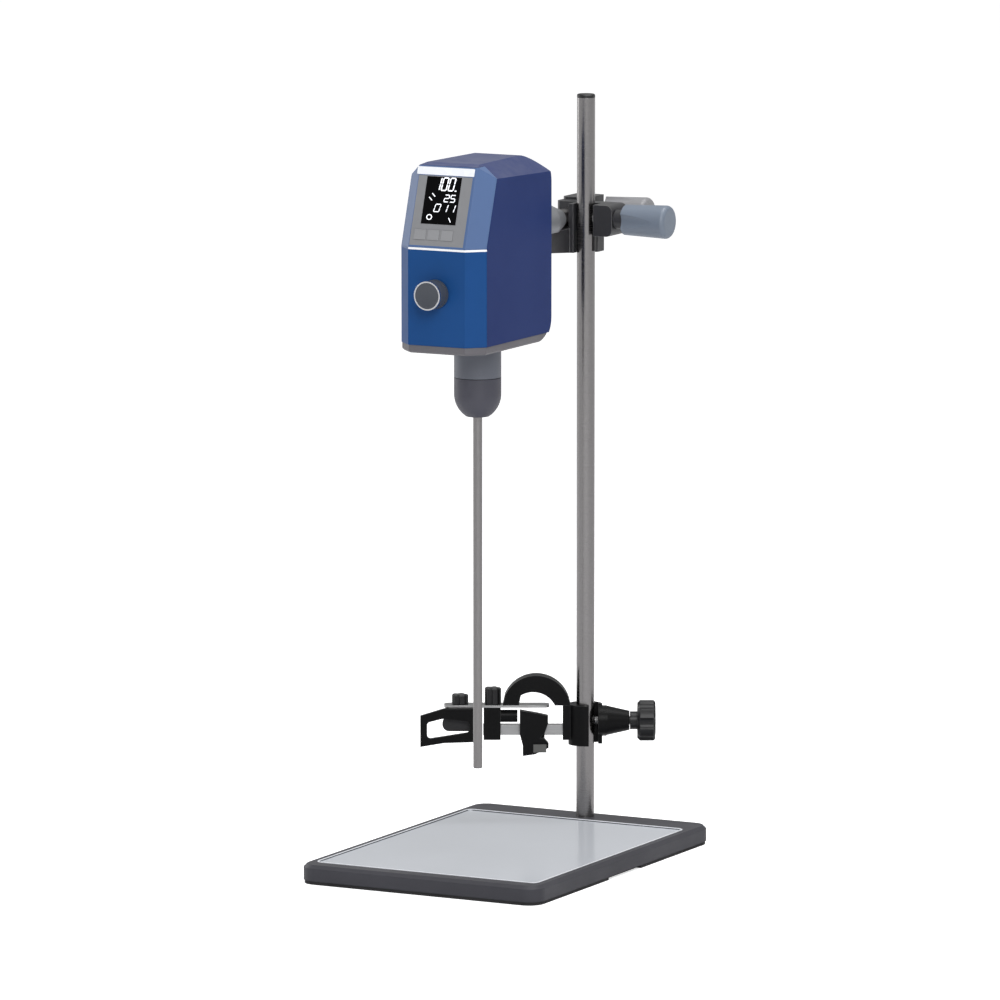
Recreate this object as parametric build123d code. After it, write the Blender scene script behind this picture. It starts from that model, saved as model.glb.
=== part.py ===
from build123d import *
import math
import os

# An overhead laboratory stirrer on a plate stand, in millimetres.
# Origin: centre of the base plate on the bench. X to the right, Y to the back, Z up.

# Stand
base_width = 232.0
base_depth = 338.0
base_corner = 15.0
rim_top = 17.0
rim_bevel = 3.0
foot_ring_height = 3.0
foot_ring_width = 9.0
foot_ring_inset = 1.0
foot_recess_length = 62.0
foot_recess_depth = 4.5
panel_width = 212.0
panel_depth = 283.0
panel_front_margin = 17.0
panel_thickness = 3.0
panel_sink = 0.6
panel_corner = 5.0
ballast_width = 200.0
ballast_front = -150.0
ballast_back = 158.0
ballast_thickness = 4.0
ballast_bottom = 6.2
ballast_screw_x = 88.0
ballast_screw_ys = (-130.0, 120.0)
ballast_screw_d = 4.0
ballast_screw_head_d = 8.0
ballast_screw_head_height = 2.2
ballast_screw_grip = 2.0
column_d = 16.0
column_y = 150.0
column_top = 657.0
column_socket_depth = 5.0
spigot_d = 10.0
column_nut_height = 5.0
column_nut_flats = 16.0
cap_height = 3.0
cap_plug_d = 9.0
cap_plug_depth = 8.0

# Clearances
fit_gap = 0.05
loose_gap = 0.15
free_gap = 0.5

# Boss head that carries the arm on the column
arm_d = 16.0
arm_z = 550.0
boss_web = 4.5
boss_bottom = 520.0
boss_top = 563.5
boss_front = 141.0
boss_back_wall = 12.5
boss_outer_wall = 5.0
boss_right = 30.0
boss_lug_bottom = 536.0
boss_lug_corner = 6.0
arm_block_length = 30.0
arm_block_top = 566.0
leg_front = 92.0
leg_front_height = 17.0
liner_wall = 1.2
liner_bottom = 522.0
liner_height = 17.0
liner_open_deg = 150.0
screw_d = 8.0
screw_gap = 0.06
column_screw_z = 551.0
arm_screw_z = 552.5
knob_length = 52.0
knob_root_r = 13.4
knob_end_r = 14.8
knob_flute_r = 9.0
knob_flute_start = 5.2
knob_flute_slope = 9.0
knob_hub_d = 17.0
knob_hub_length = 9.0
knob_bore_depth = 22.0

# Arm and head
arm_end_y = 214.0
sleeve_cone_y = 108.0
sleeve_end_y = 135.0
sleeve_end_r = 8.8
sleeve_root_r = 17.0
sleeve_flat_drop = 8.0
arm_nut_flats = 24.0
arm_nut_height = 7.0
head_width = 83.0
head_front = -92.0
head_depth = 135.0
head_bottom = 463.5
accent_z = 547.0
accent_height = 1.8
shoulder_z = 608.5
head_top = 618.5
lean_back = 19.7
lean_top = 73.0
crown_setback = 31.5
front_chamfer = 14.0
crown_half_front = 27.5
crown_half_back = 21.5
head_back_top_r = 24.0
head_back_bottom_r = 20.0
wall = 2.5
tray_height = 7.0
tray_floor = 3.0
tray_inset = 0.6
tray_bevel = 1.8

# Front of the head
fascia_thickness = 0.8
fascia_left = -27.0
fascia_right = 25.0
fascia_low = 3.0
fascia_high = 64.3
display_left = -18.7
display_right = 14.8
display_low = 22.0
display_high = 63.6
module_thickness = 6.0
module_margin = 2.0
key_width = 11.0
key_height = 9.0
key_pitch = 13.0
key_centre_u = -4.8
key_centre_v = 12.5
key_lip = 0.9
knob_x = 0.0
knob_z = 509.0
control_knob_d = 25.0
control_knob_depth = 16.0
control_knob_gap = 1.6
knob_ring_width = 1.2
knob_ring_depth = 2.0
encoder_size = 13.0
encoder_depth = 7.0
encoder_shaft_d = 6.0
encoder_travel = 1.0
encoder_bush_d = 9.0
board_width = 52.0
board_height = 66.0
board_thickness = 1.6
board_bottom = 474.0
post_d = 6.0

# Drive
spindle_y = -16.0
spindle_d = 12.0
spindle_top_d = 10.0
motor_r = 30.0
motor_wall = 3.0
motor_bore_r = 19.8
rotor_r = 19.0
motor_plate_thickness = 12.0
motor_height = 88.0
stator_height = 60.0
lower_bearing_d = 32.0
lower_bearing_height = 10.0
upper_bearing_d = 26.0
upper_bearing_height = 8.0

# Chuck and stirring rod
chuck_d = 41.0
chuck_gap = 1.0
collar_height = 27.0
sleeve_height = 34.5
sleeve_wall = 3.0
chuck_nose_d = 20.0
chuck_mouth_r = 9.6
chuck_core_d = 33.0
dome_height = 20.0
dome_swell = 0.79
jaw_angle = 12.0
jaw_d = 5.6
jaw_length = 30.0
jaw_travel = 4.0
jaw_tip_land = 9.0
jaw_tip_rise = 0.8
rod_d = 8.0
rod_length = 350.0
rod_bottom = 84.8

# Rear fittings of the head
inlet_width = 27.0
inlet_height = 20.0
inlet_depth = 20.0
inlet_wall = 1.8
inlet_z = 484.0
inlet_flange = 3.0
inlet_pin_width = 4.0
inlet_pin_thickness = 2.0
inlet_pin_length = 13.0
switch_width = 21.0
switch_height = 15.0
switch_depth = 16.0
switch_z = 512.0
switch_tilt = 9.0
rocker_pivot_d = 2.4
rocker_pivot_depth = 1.0
rocker_pivot_reach = 0.3
vent_count = 7
vent_pitch = 5.0
vent_width = 2.2
vent_length = 34.0
vent_z = 588.0
housing_screw_x = 31.0
housing_screw_d = 3.0
housing_screw_head_d = 6.0
housing_screw_length = 9.0

# Vessel clamp on the column, turned by clamp_swing about it
clamp_swing = 207.45
clamp_boss_bottom = 82.0
clamp_boss_top = 118.0
clamp_boss_wall = 7.0
clamp_liner_bottom = 85.0
clamp_liner_height = 10.0
clamp_lug_start = -11.5
clamp_lug_end = -39.0
clamp_lug_r = 13.0
clamp_lug_straight = 8.0
clamp_lug_end_r = 8.6
clamp_screw_z = 103.0
clamp_knob_neck_r = 8.0
clamp_knob_start = -46.0
clamp_knob_end = -62.0
clamp_knob_r = 18.0
clamp_knob_lobes = 6
clamp_screw_d = 8.0
arch_start = 13.0
arch_end = 73.0
arch_top = 143.5
arch_band = 14.0
arch_width = 16.0
strip_start = 32.0
strip_end = 125.0
strip_bottom = 115.6
strip_thickness = 2.0
strip_width = 16.0
beam_end = 20.0
bar_start = 12.0
bar_end = 90.5
bar_bottom = 90.5
bar_height = 9.0
bar_width = 8.0
tube_start = 60.0
tube_end = 90.0
tube_d = 11.0
tube_z = 107.0
fork_pivot = 111.0
fork_root = 93.5
fork_tip = 146.0
fork_top = 115.3
fork_bottom = 81.0
fork_plate = 4.0
fork_front = 12.0
fork_band = 6.0
hook_start = 33.0
hook_end = 58.0
hook_front = 12.0
hook_plate = 7.0
wing_d = 15.0
wing_height = 9.0
wing_screw_d = 6.0
foot_knob_height = 15.0

# Derived places
arm_x = -(column_d / 2 + boss_web + arm_d / 2)
head_x = arm_x
head_back = head_front + head_depth
lean_rise = shoulder_z - accent_z
lean_length = math.hypot(lean_back, lean_rise)
lean_sin = lean_back / lean_length
lean_cos = lean_rise / lean_length
panel_front = -base_depth / 2 + panel_front_margin
panel_back = panel_front + panel_depth
arm_block_front = column_y + column_d / 2 + boss_back_wall
arm_block_back = arm_block_front + arm_block_length
arm_screw_y = arm_block_front + knob_end_r + 1.2
tray_bottom = head_bottom - tray_height
chuck_top = tray_bottom - chuck_gap
collar_bottom = chuck_top - collar_height
sleeve_bottom = collar_bottom - sleeve_height
motor_plate_bottom = tray_bottom + tray_floor
motor_bottom = motor_plate_bottom + motor_plate_thickness
motor_top = motor_bottom + motor_height
rod_top = rod_bottom + rod_length


def block(x0, x1, y0, y1, z0, z1):
    """A box between two corners."""
    size = (x1 - x0, y1 - y0, z1 - z0)
    return Pos((x0 + x1) / 2, (y0 + y1) / 2, (z0 + z1) / 2) * Box(*size)


def round_bar(start, direction, radius, length):
    """A cylinder that starts at a point and runs along a direction."""
    place = Plane(origin=start, z_dir=direction)
    return place * Cylinder(radius, length, align=(Align.CENTER, Align.CENTER, Align.MIN))


def upright(x, y, z0, z1, radius):
    """A vertical cylinder between two heights."""
    return round_bar((x, y, z0), (0, 0, 1), radius, z1 - z0)


def rounded_slab(width, depth, corner, z0, z1, y_centre=0.0):
    """A rectangular plate with rounded corners."""
    outline = RectangleRounded(width, depth, corner)
    return Pos(0, y_centre, z0) * extrude(outline, z1 - z0)


def prism(points, plane, length, both=False):
    """A polygon in a plane, carried along the plane's normal."""
    outline = make_face(Polyline(*points, close=True))
    return extrude(plane * outline, length, both=both)


def hex_bar(centre, direction, flats, length):
    """A six-sided bar, by its width across flats."""
    place = Plane(origin=centre, z_dir=direction)
    return place * extrude(RegularPolygon(flats / math.sqrt(3), 6), length)


def base_frame():
    """The moulded base: bevelled rim, sunk seat for the panel, pocket below for the ballast."""
    frame = rounded_slab(base_width, base_depth, base_corner, foot_ring_height, rim_top)
    frame = chamfer(frame.faces().sort_by(Axis.Z)[-1].edges(), rim_bevel)
    seat_z = rim_top - panel_sink - panel_thickness
    panel_y = (panel_front + panel_back) / 2
    seat = rounded_slab(
        panel_width + 2 * loose_gap, panel_depth + 2 * loose_gap, panel_corner, seat_z, rim_top, panel_y
    )
    pocket_depth = ballast_back - ballast_front + 2 * loose_gap
    pocket_y = (ballast_back + ballast_front) / 2
    pocket = rounded_slab(
        ballast_width + 2 * loose_gap, pocket_depth, panel_corner, foot_ring_height,
        ballast_bottom + ballast_thickness, pocket_y
    )
    socket = upright(0, column_y, rim_top - column_socket_depth, rim_top, column_d / 2 + fit_gap)
    spigot_hole = upright(0, column_y, foot_ring_height, rim_top, spigot_d / 2 + loose_gap)
    frame = frame - seat - pocket - socket - spigot_hole
    for x, y in ballast_screw_places():
        frame -= upright(x, y, ballast_bottom, ballast_bottom + ballast_thickness + ballast_screw_grip,
                         ballast_screw_d / 2)
    return frame


def ballast_screw_places():
    """Where the screws hold the ballast plate to the base."""
    return [(x, y) for x in (-ballast_screw_x, ballast_screw_x) for y in ballast_screw_ys]


def base_panel():
    """The flat work plate that fills the rim."""
    top = rim_top - panel_sink
    panel_y = (panel_front + panel_back) / 2
    return rounded_slab(panel_width, panel_depth, panel_corner, top - panel_thickness, top, panel_y)


def ballast_plate():
    """The steel plate under the base that keeps the stand upright."""
    top = ballast_bottom + ballast_thickness
    depth = ballast_back - ballast_front
    plate = rounded_slab(ballast_width, depth, panel_corner, ballast_bottom, top,
                         (ballast_back + ballast_front) / 2)
    plate -= upright(0, column_y, ballast_bottom, top, spigot_d / 2 + loose_gap)
    for x, y in ballast_screw_places():
        plate -= upright(x, y, ballast_bottom, top, ballast_screw_d / 2 + loose_gap)
    return plate


def ballast_screws():
    """Four pan-head screws that hold the ballast plate."""
    screws = []
    for x, y in ballast_screw_places():
        head_z = ballast_bottom - ballast_screw_head_height
        head = upright(x, y, head_z, ballast_bottom, ballast_screw_head_d / 2)
        shank = upright(x, y, ballast_bottom, ballast_bottom + ballast_thickness + ballast_screw_grip,
                        ballast_screw_d / 2)
        screws.append(head + shank)
    return Compound(children=screws)


def foot_ring():
    """The rubber ring that the stand rests on, with a finger recess in each long side."""
    width = base_width - 2 * foot_ring_inset
    depth = base_depth - 2 * foot_ring_inset
    ring = rounded_slab(width, depth, base_corner - foot_ring_inset, 0, foot_ring_height)
    inner = rounded_slab(
        width - 2 * foot_ring_width, depth - 2 * foot_ring_width, base_corner / 2, 0, foot_ring_height
    )
    ring -= inner
    for side in (-1, 1):
        edge = side * width / 2
        low, high = sorted((edge, edge - side * foot_recess_depth))
        ring -= block(low, high, -foot_recess_length / 2, foot_recess_length / 2, 0, foot_ring_height)
    return ring


def column():
    """The steel column, with the threaded spigot that the nut below the ballast pulls down."""
    foot = rim_top - column_socket_depth
    bar = upright(0, column_y, foot, column_top, column_d / 2)
    spigot = upright(0, column_y, ballast_bottom - column_nut_height, foot, spigot_d / 2)
    plug_hole = upright(0, column_y, column_top - cap_plug_depth, column_top, cap_plug_d / 2)
    return bar + spigot - plug_hole


def column_nut():
    """The nut that holds the column down."""
    bottom = ballast_bottom - column_nut_height
    nut = hex_bar((0, column_y, bottom), (0, 0, 1), column_nut_flats, column_nut_height)
    return nut - upright(0, column_y, bottom, ballast_bottom, spigot_d / 2)


def column_cap():
    """The plug that closes the column's top end."""
    disc = upright(0, column_y, column_top, column_top + cap_height, column_d / 2)
    disc = chamfer(disc.edges().sort_by(Axis.Z)[-1], 0.8)
    return disc + upright(0, column_y, column_top - cap_plug_depth, column_top, cap_plug_d / 2)


def open_liner(x, y, z0, height, open_at_deg, open_deg):
    """A thin sleeve on the column, open along one side."""
    inner = column_d / 2 + fit_gap
    ring = upright(x, y, z0, z0 + height, inner + liner_wall) - upright(x, y, z0, z0 + height, inner)
    reach = 2 * column_d
    half = math.radians(open_deg / 2)
    middle = math.radians(open_at_deg)
    points = [(x, y)]
    for angle in (middle - half, middle, middle + half):
        points.append((x + reach * math.cos(angle), y + reach * math.sin(angle)))
    return ring - prism(points, Plane.XY.offset(z0), height)


def column_liner():
    """The plastic liner between the boss head and the column, open to the front."""
    return open_liner(0, column_y, liner_bottom, liner_height, 270.0, liner_open_deg)


def clamp_liner():
    """The plastic liner between the vessel clamp and the column."""
    return open_liner(0, column_y, clamp_liner_bottom, clamp_liner_height,
                      clamp_swing + 180.0, liner_open_deg)


def boss_head():
    """The cast boss head: an open hook for the column, a bored block for the arm and a leg under it."""
    left = arm_x - arm_d / 2 - boss_outer_wall
    web_left = arm_x + arm_d / 2 + fit_gap
    seat_back = column_y + column_d / 2 + fit_gap
    web = block(web_left, 0, boss_front, arm_block_front, boss_bottom, boss_top)
    back = block(left, boss_right, seat_back, arm_block_front, boss_bottom, boss_top)
    lug_left = column_d / 2 + 3.5
    lug = block(lug_left, boss_right, boss_front, arm_block_front, boss_lug_bottom, boss_top)
    arm_block = block(left, -column_d / 2, arm_block_front - 1, arm_block_back, boss_bottom + 8,
                      arm_block_top)
    leg_top = arm_z - sleeve_flat_drop - free_gap
    leg_points = [
        (leg_front, leg_top - leg_front_height),
        (leg_front, leg_top),
        (arm_block_front, leg_top),
        (arm_block_front, boss_bottom),
        (boss_front, boss_bottom),
    ]
    leg_left = arm_x - arm_d / 2
    leg_right = arm_x + arm_d / 2 + 1.0
    leg = prism(leg_points, Plane(origin=(leg_left, 0, 0), x_dir=(0, 1, 0), z_dir=(1, 0, 0)),
                leg_right - leg_left)
    below_lug = block(lug_left - 4, boss_right, boss_front, arm_block_front + 1, boss_bottom, boss_lug_bottom)
    body = web + back + lug + arm_block + leg - below_lug
    body = chamfer(body.edges().filter_by(Axis.Z).filter_by_position(Axis.X, left - 1, left + 1), 3.0)
    body = fillet(
        body.edges().filter_by(Axis.Y).filter_by_position(Axis.X, boss_right - 1, boss_right + 1),
        boss_lug_corner,
    )
    body -= upright(0, column_y, boss_bottom - 1, boss_top + 1, column_d / 2 + fit_gap)
    body -= block(-column_d / 2 - fit_gap, column_d / 2 + fit_gap, boss_front - 1, column_y,
                  boss_bottom - 1, boss_top + 1)
    pocket_r = column_d / 2 + 2 * fit_gap + liner_wall
    body -= upright(0, column_y, liner_bottom - fit_gap, liner_bottom + liner_height + fit_gap, pocket_r)
    body -= round_bar((arm_x, arm_block_front - boss_back_wall - 20, arm_z), (0, 1, 0),
                      arm_d / 2 + fit_gap, arm_block_length + boss_back_wall + 40)
    body -= round_bar((0, column_y, column_screw_z), (1, 0, 0), screw_d / 2 + screw_gap, boss_right + 1)
    body -= round_bar((arm_x, arm_screw_y, arm_screw_z), (1, 0, 0), screw_d / 2 + screw_gap, arm_d + 20)
    return body


def clamp_knob_body(origin, turn_deg, length, bore_start):
    """A three-lobed clamping knob along +X: a flared grip with three tapering flutes and a round hub."""
    place = Plane(origin=origin, x_dir=(0, 1, 0), z_dir=(1, 0, 0)) * Rot(0, 0, turn_deg)
    grip = Pos(0, 0, knob_hub_length) * Cone(
        knob_root_r, knob_end_r, length - knob_hub_length, align=(Align.CENTER, Align.CENTER, Align.MIN)
    )
    grip = fillet(grip.edges().sort_by(Axis.Z)[-1], 4.0)
    for turn in (0, 120, 240):
        start = Vector(knob_root_r + knob_flute_start, 0, knob_hub_length)
        tilt = math.radians(knob_flute_slope)
        along = Vector(math.sin(tilt), 0, math.cos(tilt))
        cutter = Plane(origin=start - along * 5, z_dir=along) * Cylinder(
            knob_flute_r, length, align=(Align.CENTER, Align.CENTER, Align.MIN)
        )
        grip -= Rot(0, 0, turn) * cutter
    hub = Cylinder(knob_hub_d / 2, knob_hub_length, align=(Align.CENTER, Align.CENTER, Align.MIN))
    bore = Pos(0, 0, bore_start) * Cylinder(
        screw_d / 2 + screw_gap, knob_bore_depth, align=(Align.CENTER, Align.CENTER, Align.MIN)
    )
    return place * (grip + hub - bore)


def column_screw():
    """The screw that presses on the column."""
    start = column_d / 2 + fit_gap
    end = boss_right + free_gap + knob_bore_depth
    return round_bar((start, column_y, column_screw_z), (1, 0, 0), screw_d / 2, end - start)


def column_knob():
    """The knob on the column screw."""
    origin = (boss_right + free_gap, column_y, column_screw_z)
    return clamp_knob_body(origin, 180.0, knob_length, 0.0)


def arm_screw():
    """The screw that presses on the arm from the side."""
    start = arm_x + arm_d / 2 + fit_gap
    end = -column_d / 2 + free_gap + knob_bore_depth
    return round_bar((start, arm_screw_y, arm_screw_z), (1, 0, 0), screw_d / 2, end - start)


def arm_knob():
    """The knob on the arm screw."""
    origin = (-column_d / 2 + free_gap, arm_screw_y, arm_screw_z)
    return clamp_knob_body(origin, 120.0, knob_length, 0.0)


def arm_rod():
    """The steel arm from inside the head to behind the boss head."""
    start = head_back - wall - arm_nut_height
    bar = round_bar((arm_x, start, arm_z), (0, 1, 0), arm_d / 2, arm_end_y - start)
    return chamfer(bar.edges().sort_by(Axis.Y)[-1], 1.0)


def arm_sleeve():
    """The tapered sleeve at the root of the arm, flat below where the leg guides it."""
    root = round_bar((arm_x, head_back, arm_z), (0, 1, 0), sleeve_root_r, sleeve_cone_y - head_back)
    cone = Plane(origin=(arm_x, sleeve_cone_y, arm_z), z_dir=(0, 1, 0)) * Cone(
        sleeve_root_r, sleeve_end_r, sleeve_end_y - sleeve_cone_y,
        align=(Align.CENTER, Align.CENTER, Align.MIN)
    )
    sleeve = root + cone
    low = arm_z - sleeve_flat_drop
    under = block(arm_x - 40, arm_x + 40, leg_front - 25, sleeve_end_y + 1, low - 40, low)
    bore = round_bar((arm_x, head_back - 1, arm_z), (0, 1, 0), arm_d / 2, sleeve_end_y - head_back + 2)
    return sleeve - under - bore


def arm_nut():
    """The nut that holds the arm from inside the head."""
    start = head_back - wall - arm_nut_height
    nut = hex_bar((arm_x, start, arm_z), (0, 1, 0), arm_nut_flats, arm_nut_height)
    return nut - round_bar((arm_x, start, arm_z), (0, 1, 0), arm_d / 2, arm_nut_height)


def plan_outline(inset, shift):
    """The head's plan: a rectangle with its two front corners cut, its front moved back by a shift."""
    half = head_width / 2 - inset
    front = head_front + inset + shift
    back = head_back - inset
    cut = front_chamfer - (2 - math.sqrt(2)) * inset
    return [
        (head_x - half, back),
        (head_x - half, front + cut),
        (head_x - half + cut, front),
        (head_x + half - cut, front),
        (head_x + half, front + cut),
        (head_x + half, back),
    ]


def head_form(inset):
    """The head's whole outer form, moved in by a wall: plan and side silhouettes, then the crown's bevels."""
    low = tray_bottom
    high = head_top - inset
    rise = head_top + 5 - accent_z
    slant = Vector(0, lean_back, lean_rise).normalized()
    outline = make_face(Polyline(*plan_outline(inset, 0), close=True))
    lower = Pos(0, 0, low) * extrude(outline, accent_z - low)
    upper = Pos(0, 0, accent_z) * extrude(outline, rise / lean_cos, dir=slant)
    side = [
        (head_front - 1, low),
        (head_front - 1, accent_z),
        (head_front + inset + lean_top * lean_sin, accent_z + lean_top * lean_cos - inset / 2),
        (head_front + crown_setback, high),
        (head_back - inset, high),
        (head_back - inset, low),
    ]
    side_plane = Plane(origin=(head_x - head_width, 0, 0), x_dir=(0, 1, 0), z_dir=(1, 0, 0))
    profile = prism(side, side_plane, 2 * head_width)
    back_edges = profile.edges().filter_by(Axis.X).sort_by(Axis.Y)[-2:]
    profile = fillet(back_edges.sort_by(Axis.Z)[-1], head_back_top_r - inset)
    back_edges = profile.edges().filter_by(Axis.X).group_by(Axis.Z)[0].sort_by(Axis.Y)
    profile = fillet(back_edges[-1], head_back_bottom_r - inset)
    form = (lower + upper) & profile
    return form - crown_cut(1, inset) - crown_cut(-1, inset)


def crown_cut(side, inset):
    """The wedge that bevels one side of the crown, a little wider towards the back."""
    shoulder = (head_width / 2 - inset, shoulder_z)
    crown = (crown_half_front - inset / 2, head_top - inset)
    step = Vector(crown[0] - shoulder[0], crown[1] - shoulder[1], 0)
    low = (shoulder[0] - step.X, shoulder[1] - step.Y)
    high = (crown[0] + step.X, crown[1] + step.Y)
    points = [low, high, (high[0] + 60, high[1]), (low[0] + 60, low[1])]
    run = Vector(side * (crown_half_back - crown_half_front), head_depth, 0).normalized()
    place = Plane(origin=(head_x, head_front - 20, 0), x_dir=(1, 0, 0), z_dir=(0, -1, 0))
    wedge = make_face(Polyline(*[(side * x, z) for x, z in points], close=True))
    return extrude(place * wedge, head_depth + 60, dir=run)


def face_plane(depth=0.0):
    """The leaning front face: origin at the accent line, x to the right, y up the face, z out of it."""
    normal = Vector(0, -lean_cos, lean_sin)
    origin = Vector(head_x, head_front, accent_z) - normal * depth
    return Plane(origin=origin, x_dir=(1, 0, 0), z_dir=normal)


def on_face(left, right, low, high, depth_top, depth_bottom, corner=0.0):
    """A plate in the leaning face, between two depths below it."""
    width = right - left
    height = high - low
    outline = RectangleRounded(width, height, corner) if corner else Rectangle(width, height)
    place = face_plane(depth_bottom) * Pos((left + right) / 2, (low + high) / 2, 0)
    return place * extrude(outline, depth_bottom - depth_top)


def lower_front_zone():
    """The space of the lower front cover."""
    return block(head_x - head_width, head_x + head_width, head_front - 5, head_front + front_chamfer,
                 head_bottom - 5, accent_z - accent_height / 2)


def upper_front_zone():
    """The space of the display bezel, cut parallel to the leaning face."""
    back = head_front + front_chamfer
    rise = head_top + 5 - accent_z
    points = [
        (head_front - 10, accent_z + accent_height / 2),
        (back, accent_z + accent_height / 2),
        (back + lean_back * rise / lean_rise, head_top + 5),
        (head_front - 10, head_top + 5),
    ]
    side_plane = Plane(origin=(head_x - head_width, 0, 0), x_dir=(0, 1, 0), z_dir=(1, 0, 0))
    zone = prism(points, side_plane, 2 * head_width)
    cap = block(head_x - head_width, head_x + head_width, head_front, head_back,
                accent_z + lean_top * lean_cos, head_top + 6)
    return zone - cap


def accent_zone():
    """The space of the pale strip between the two front pieces."""
    return block(head_x - head_width, head_x + head_width, head_front - 5, head_front + front_chamfer,
                 accent_z - accent_height / 2, accent_z + accent_height / 2)


def housing_screw_places():
    """Screw points under the head."""
    return [(head_x + dx, y) for dx in (-housing_screw_x, housing_screw_x)
            for y in (head_front + 24, head_back - 18)]


def main_housing(shell):
    """The deep drawn cover: sides, back and crown, with the rear openings and vents."""
    body = shell - lower_front_zone() - upper_front_zone() - accent_zone()
    body -= round_bar((arm_x, head_back - wall - 5, arm_z), (0, 1, 0), arm_d / 2, wall + 10)
    body -= block(head_x - inlet_width / 2, head_x + inlet_width / 2, head_back - wall - 5, head_back + 5,
                  inlet_z - inlet_height / 2, inlet_z + inlet_height / 2)
    body -= block(head_x - switch_width / 2, head_x + switch_width / 2, head_back - wall - 5, head_back + 5,
                  switch_z - switch_height / 2, switch_z + switch_height / 2)
    first = -(vent_count - 1) / 2 * vent_pitch
    for i in range(vent_count):
        x = head_x + first + i * vent_pitch
        body -= block(x - vent_width / 2, x + vent_width / 2, head_back - wall - 2, head_back + 5,
                      vent_z - vent_length / 2, vent_z)
    for x, y in housing_screw_places():
        post = upright(x, y, head_bottom, head_bottom + 14, post_d / 2 + 1)
        rib = block(min(x, head_x + math.copysign(head_width / 2 - wall, x - head_x)),
                    max(x, head_x + math.copysign(head_width / 2 - wall, x - head_x)),
                    y - 1, y + 1, head_bottom, head_bottom + 14)
        body += post + rib
        body -= upright(x, y, head_bottom - 1, head_bottom + housing_screw_length, housing_screw_d / 2)
    return body


def front_cover(shell):
    """The lower front, with the bush hole of the control knob and four posts for the board."""
    cover = shell & lower_front_zone()
    for x, z in board_post_places():
        cover += round_bar((x, head_front + wall - 0.5, z), (0, 1, 0), post_d / 2, board_front() - head_front
                           - wall + 0.5)
    cover -= round_bar((head_x + knob_x, head_front - 1, knob_z), (0, 1, 0),
                       encoder_bush_d / 2 + loose_gap, wall + 3)
    return cover


def board_front():
    """The front face of the control board."""
    return head_front + wall + encoder_depth


def board_post_places():
    """The four posts that carry the control board."""
    dx = board_width / 2 - 4
    heights = (board_bottom + 4, board_bottom + board_height - 4)
    return [(head_x + side * dx, z) for side in (-1, 1) for z in heights]


def key_places():
    """The centres of the three keys in the leaning face."""
    return [(key_centre_u + i * key_pitch, key_centre_v) for i in (-1, 0, 1)]


def display_bezel(shell):
    """The upper front, sunk for the fascia and cut through for the display and keys."""
    bezel = shell & upper_front_zone()
    bezel -= on_face(fascia_left, fascia_right, fascia_low, fascia_high, -2, fascia_thickness)
    bezel -= on_face(display_left + 1, display_right - 1, display_low + 1, display_high - 1, -2, wall + 4)
    for u, v in key_places():
        half_w = key_width / 2 + loose_gap
        half_h = key_height / 2 + loose_gap
        bezel -= on_face(u - half_w, u + half_w, v - half_h, v + half_h, -2, wall + 3)
    return bezel


def fascia():
    """The grey overlay with the window and the key openings."""
    sheet = on_face(fascia_left, fascia_right, fascia_low, fascia_high, 0, fascia_thickness)
    sheet -= on_face(display_left, display_right, display_low, display_high, -1, fascia_thickness + 1)
    for u, v in key_places():
        half_w = key_width / 2 + loose_gap
        half_h = key_height / 2 + loose_gap
        sheet -= on_face(u - half_w, u + half_w, v - half_h, v + half_h, -1, fascia_thickness + 1)
    return sheet


def display_lens():
    """The black window, let into the overlay."""
    return on_face(display_left, display_right, display_low, display_high, -0.1, fascia_thickness)


def display_module():
    """The display behind the window, held against the bezel."""
    m = module_margin
    return on_face(display_left - m, display_right + m, display_low - m + 2, display_high + m - 5,
                   wall, wall + module_thickness)


def key(u, v):
    """One key: a cap flush with the overlay and a lip behind that keeps it in."""
    half_w = key_width / 2
    half_h = key_height / 2
    cap = on_face(u - half_w, u + half_w, v - half_h, v + half_h, -0.3, wall + 0.1)
    lip_w = half_w + 0.7
    lip_h = half_h - 0.4
    cap += on_face(u - lip_w, u + lip_w, v - lip_h, v + lip_h, wall + 0.1, wall + 0.1 + key_lip)
    return cap


def accent_strip(shell):
    """The pale strip let in between the two front pieces."""
    return shell & accent_zone()


def bottom_cover():
    """The tray that closes the head from below, with a floor, a rim and a hole for the chuck."""
    below = block(head_x - head_width, head_x + head_width, head_front - 5, head_back + 5,
                  tray_bottom - 1, head_bottom)
    tray = head_form(tray_inset) & below
    low_edges = tray.edges().group_by(Axis.Z)[0].sort_by(Axis.Y)[:-1]
    tray = chamfer(low_edges, tray_bevel)
    hollow = head_form(tray_inset + wall) & below
    tray -= Pos(0, 0, tray_floor) * hollow
    for x, y in housing_screw_places():
        tray += upright(x, y, tray_bottom + tray_floor, head_bottom, post_d / 2 + 1)
        tray -= upright(x, y, tray_bottom, head_bottom, housing_screw_d / 2 + loose_gap)
        tray -= upright(x, y, tray_bottom, tray_bottom + 2.0, housing_screw_head_d / 2 + loose_gap)
    tray -= upright(head_x, spindle_y, tray_bottom, head_bottom, lower_bearing_d / 2)
    return tray


def housing_screws():
    """Four screws that hold the bottom cover to the housing."""
    screws = []
    for x, y in housing_screw_places():
        head = upright(x, y, tray_bottom + 0.4, tray_bottom + 2.0, housing_screw_head_d / 2)
        shank = upright(x, y, tray_bottom + 2.0, head_bottom + housing_screw_length - 1, housing_screw_d / 2)
        screws.append(head + shank)
    return Compound(children=screws)


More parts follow.
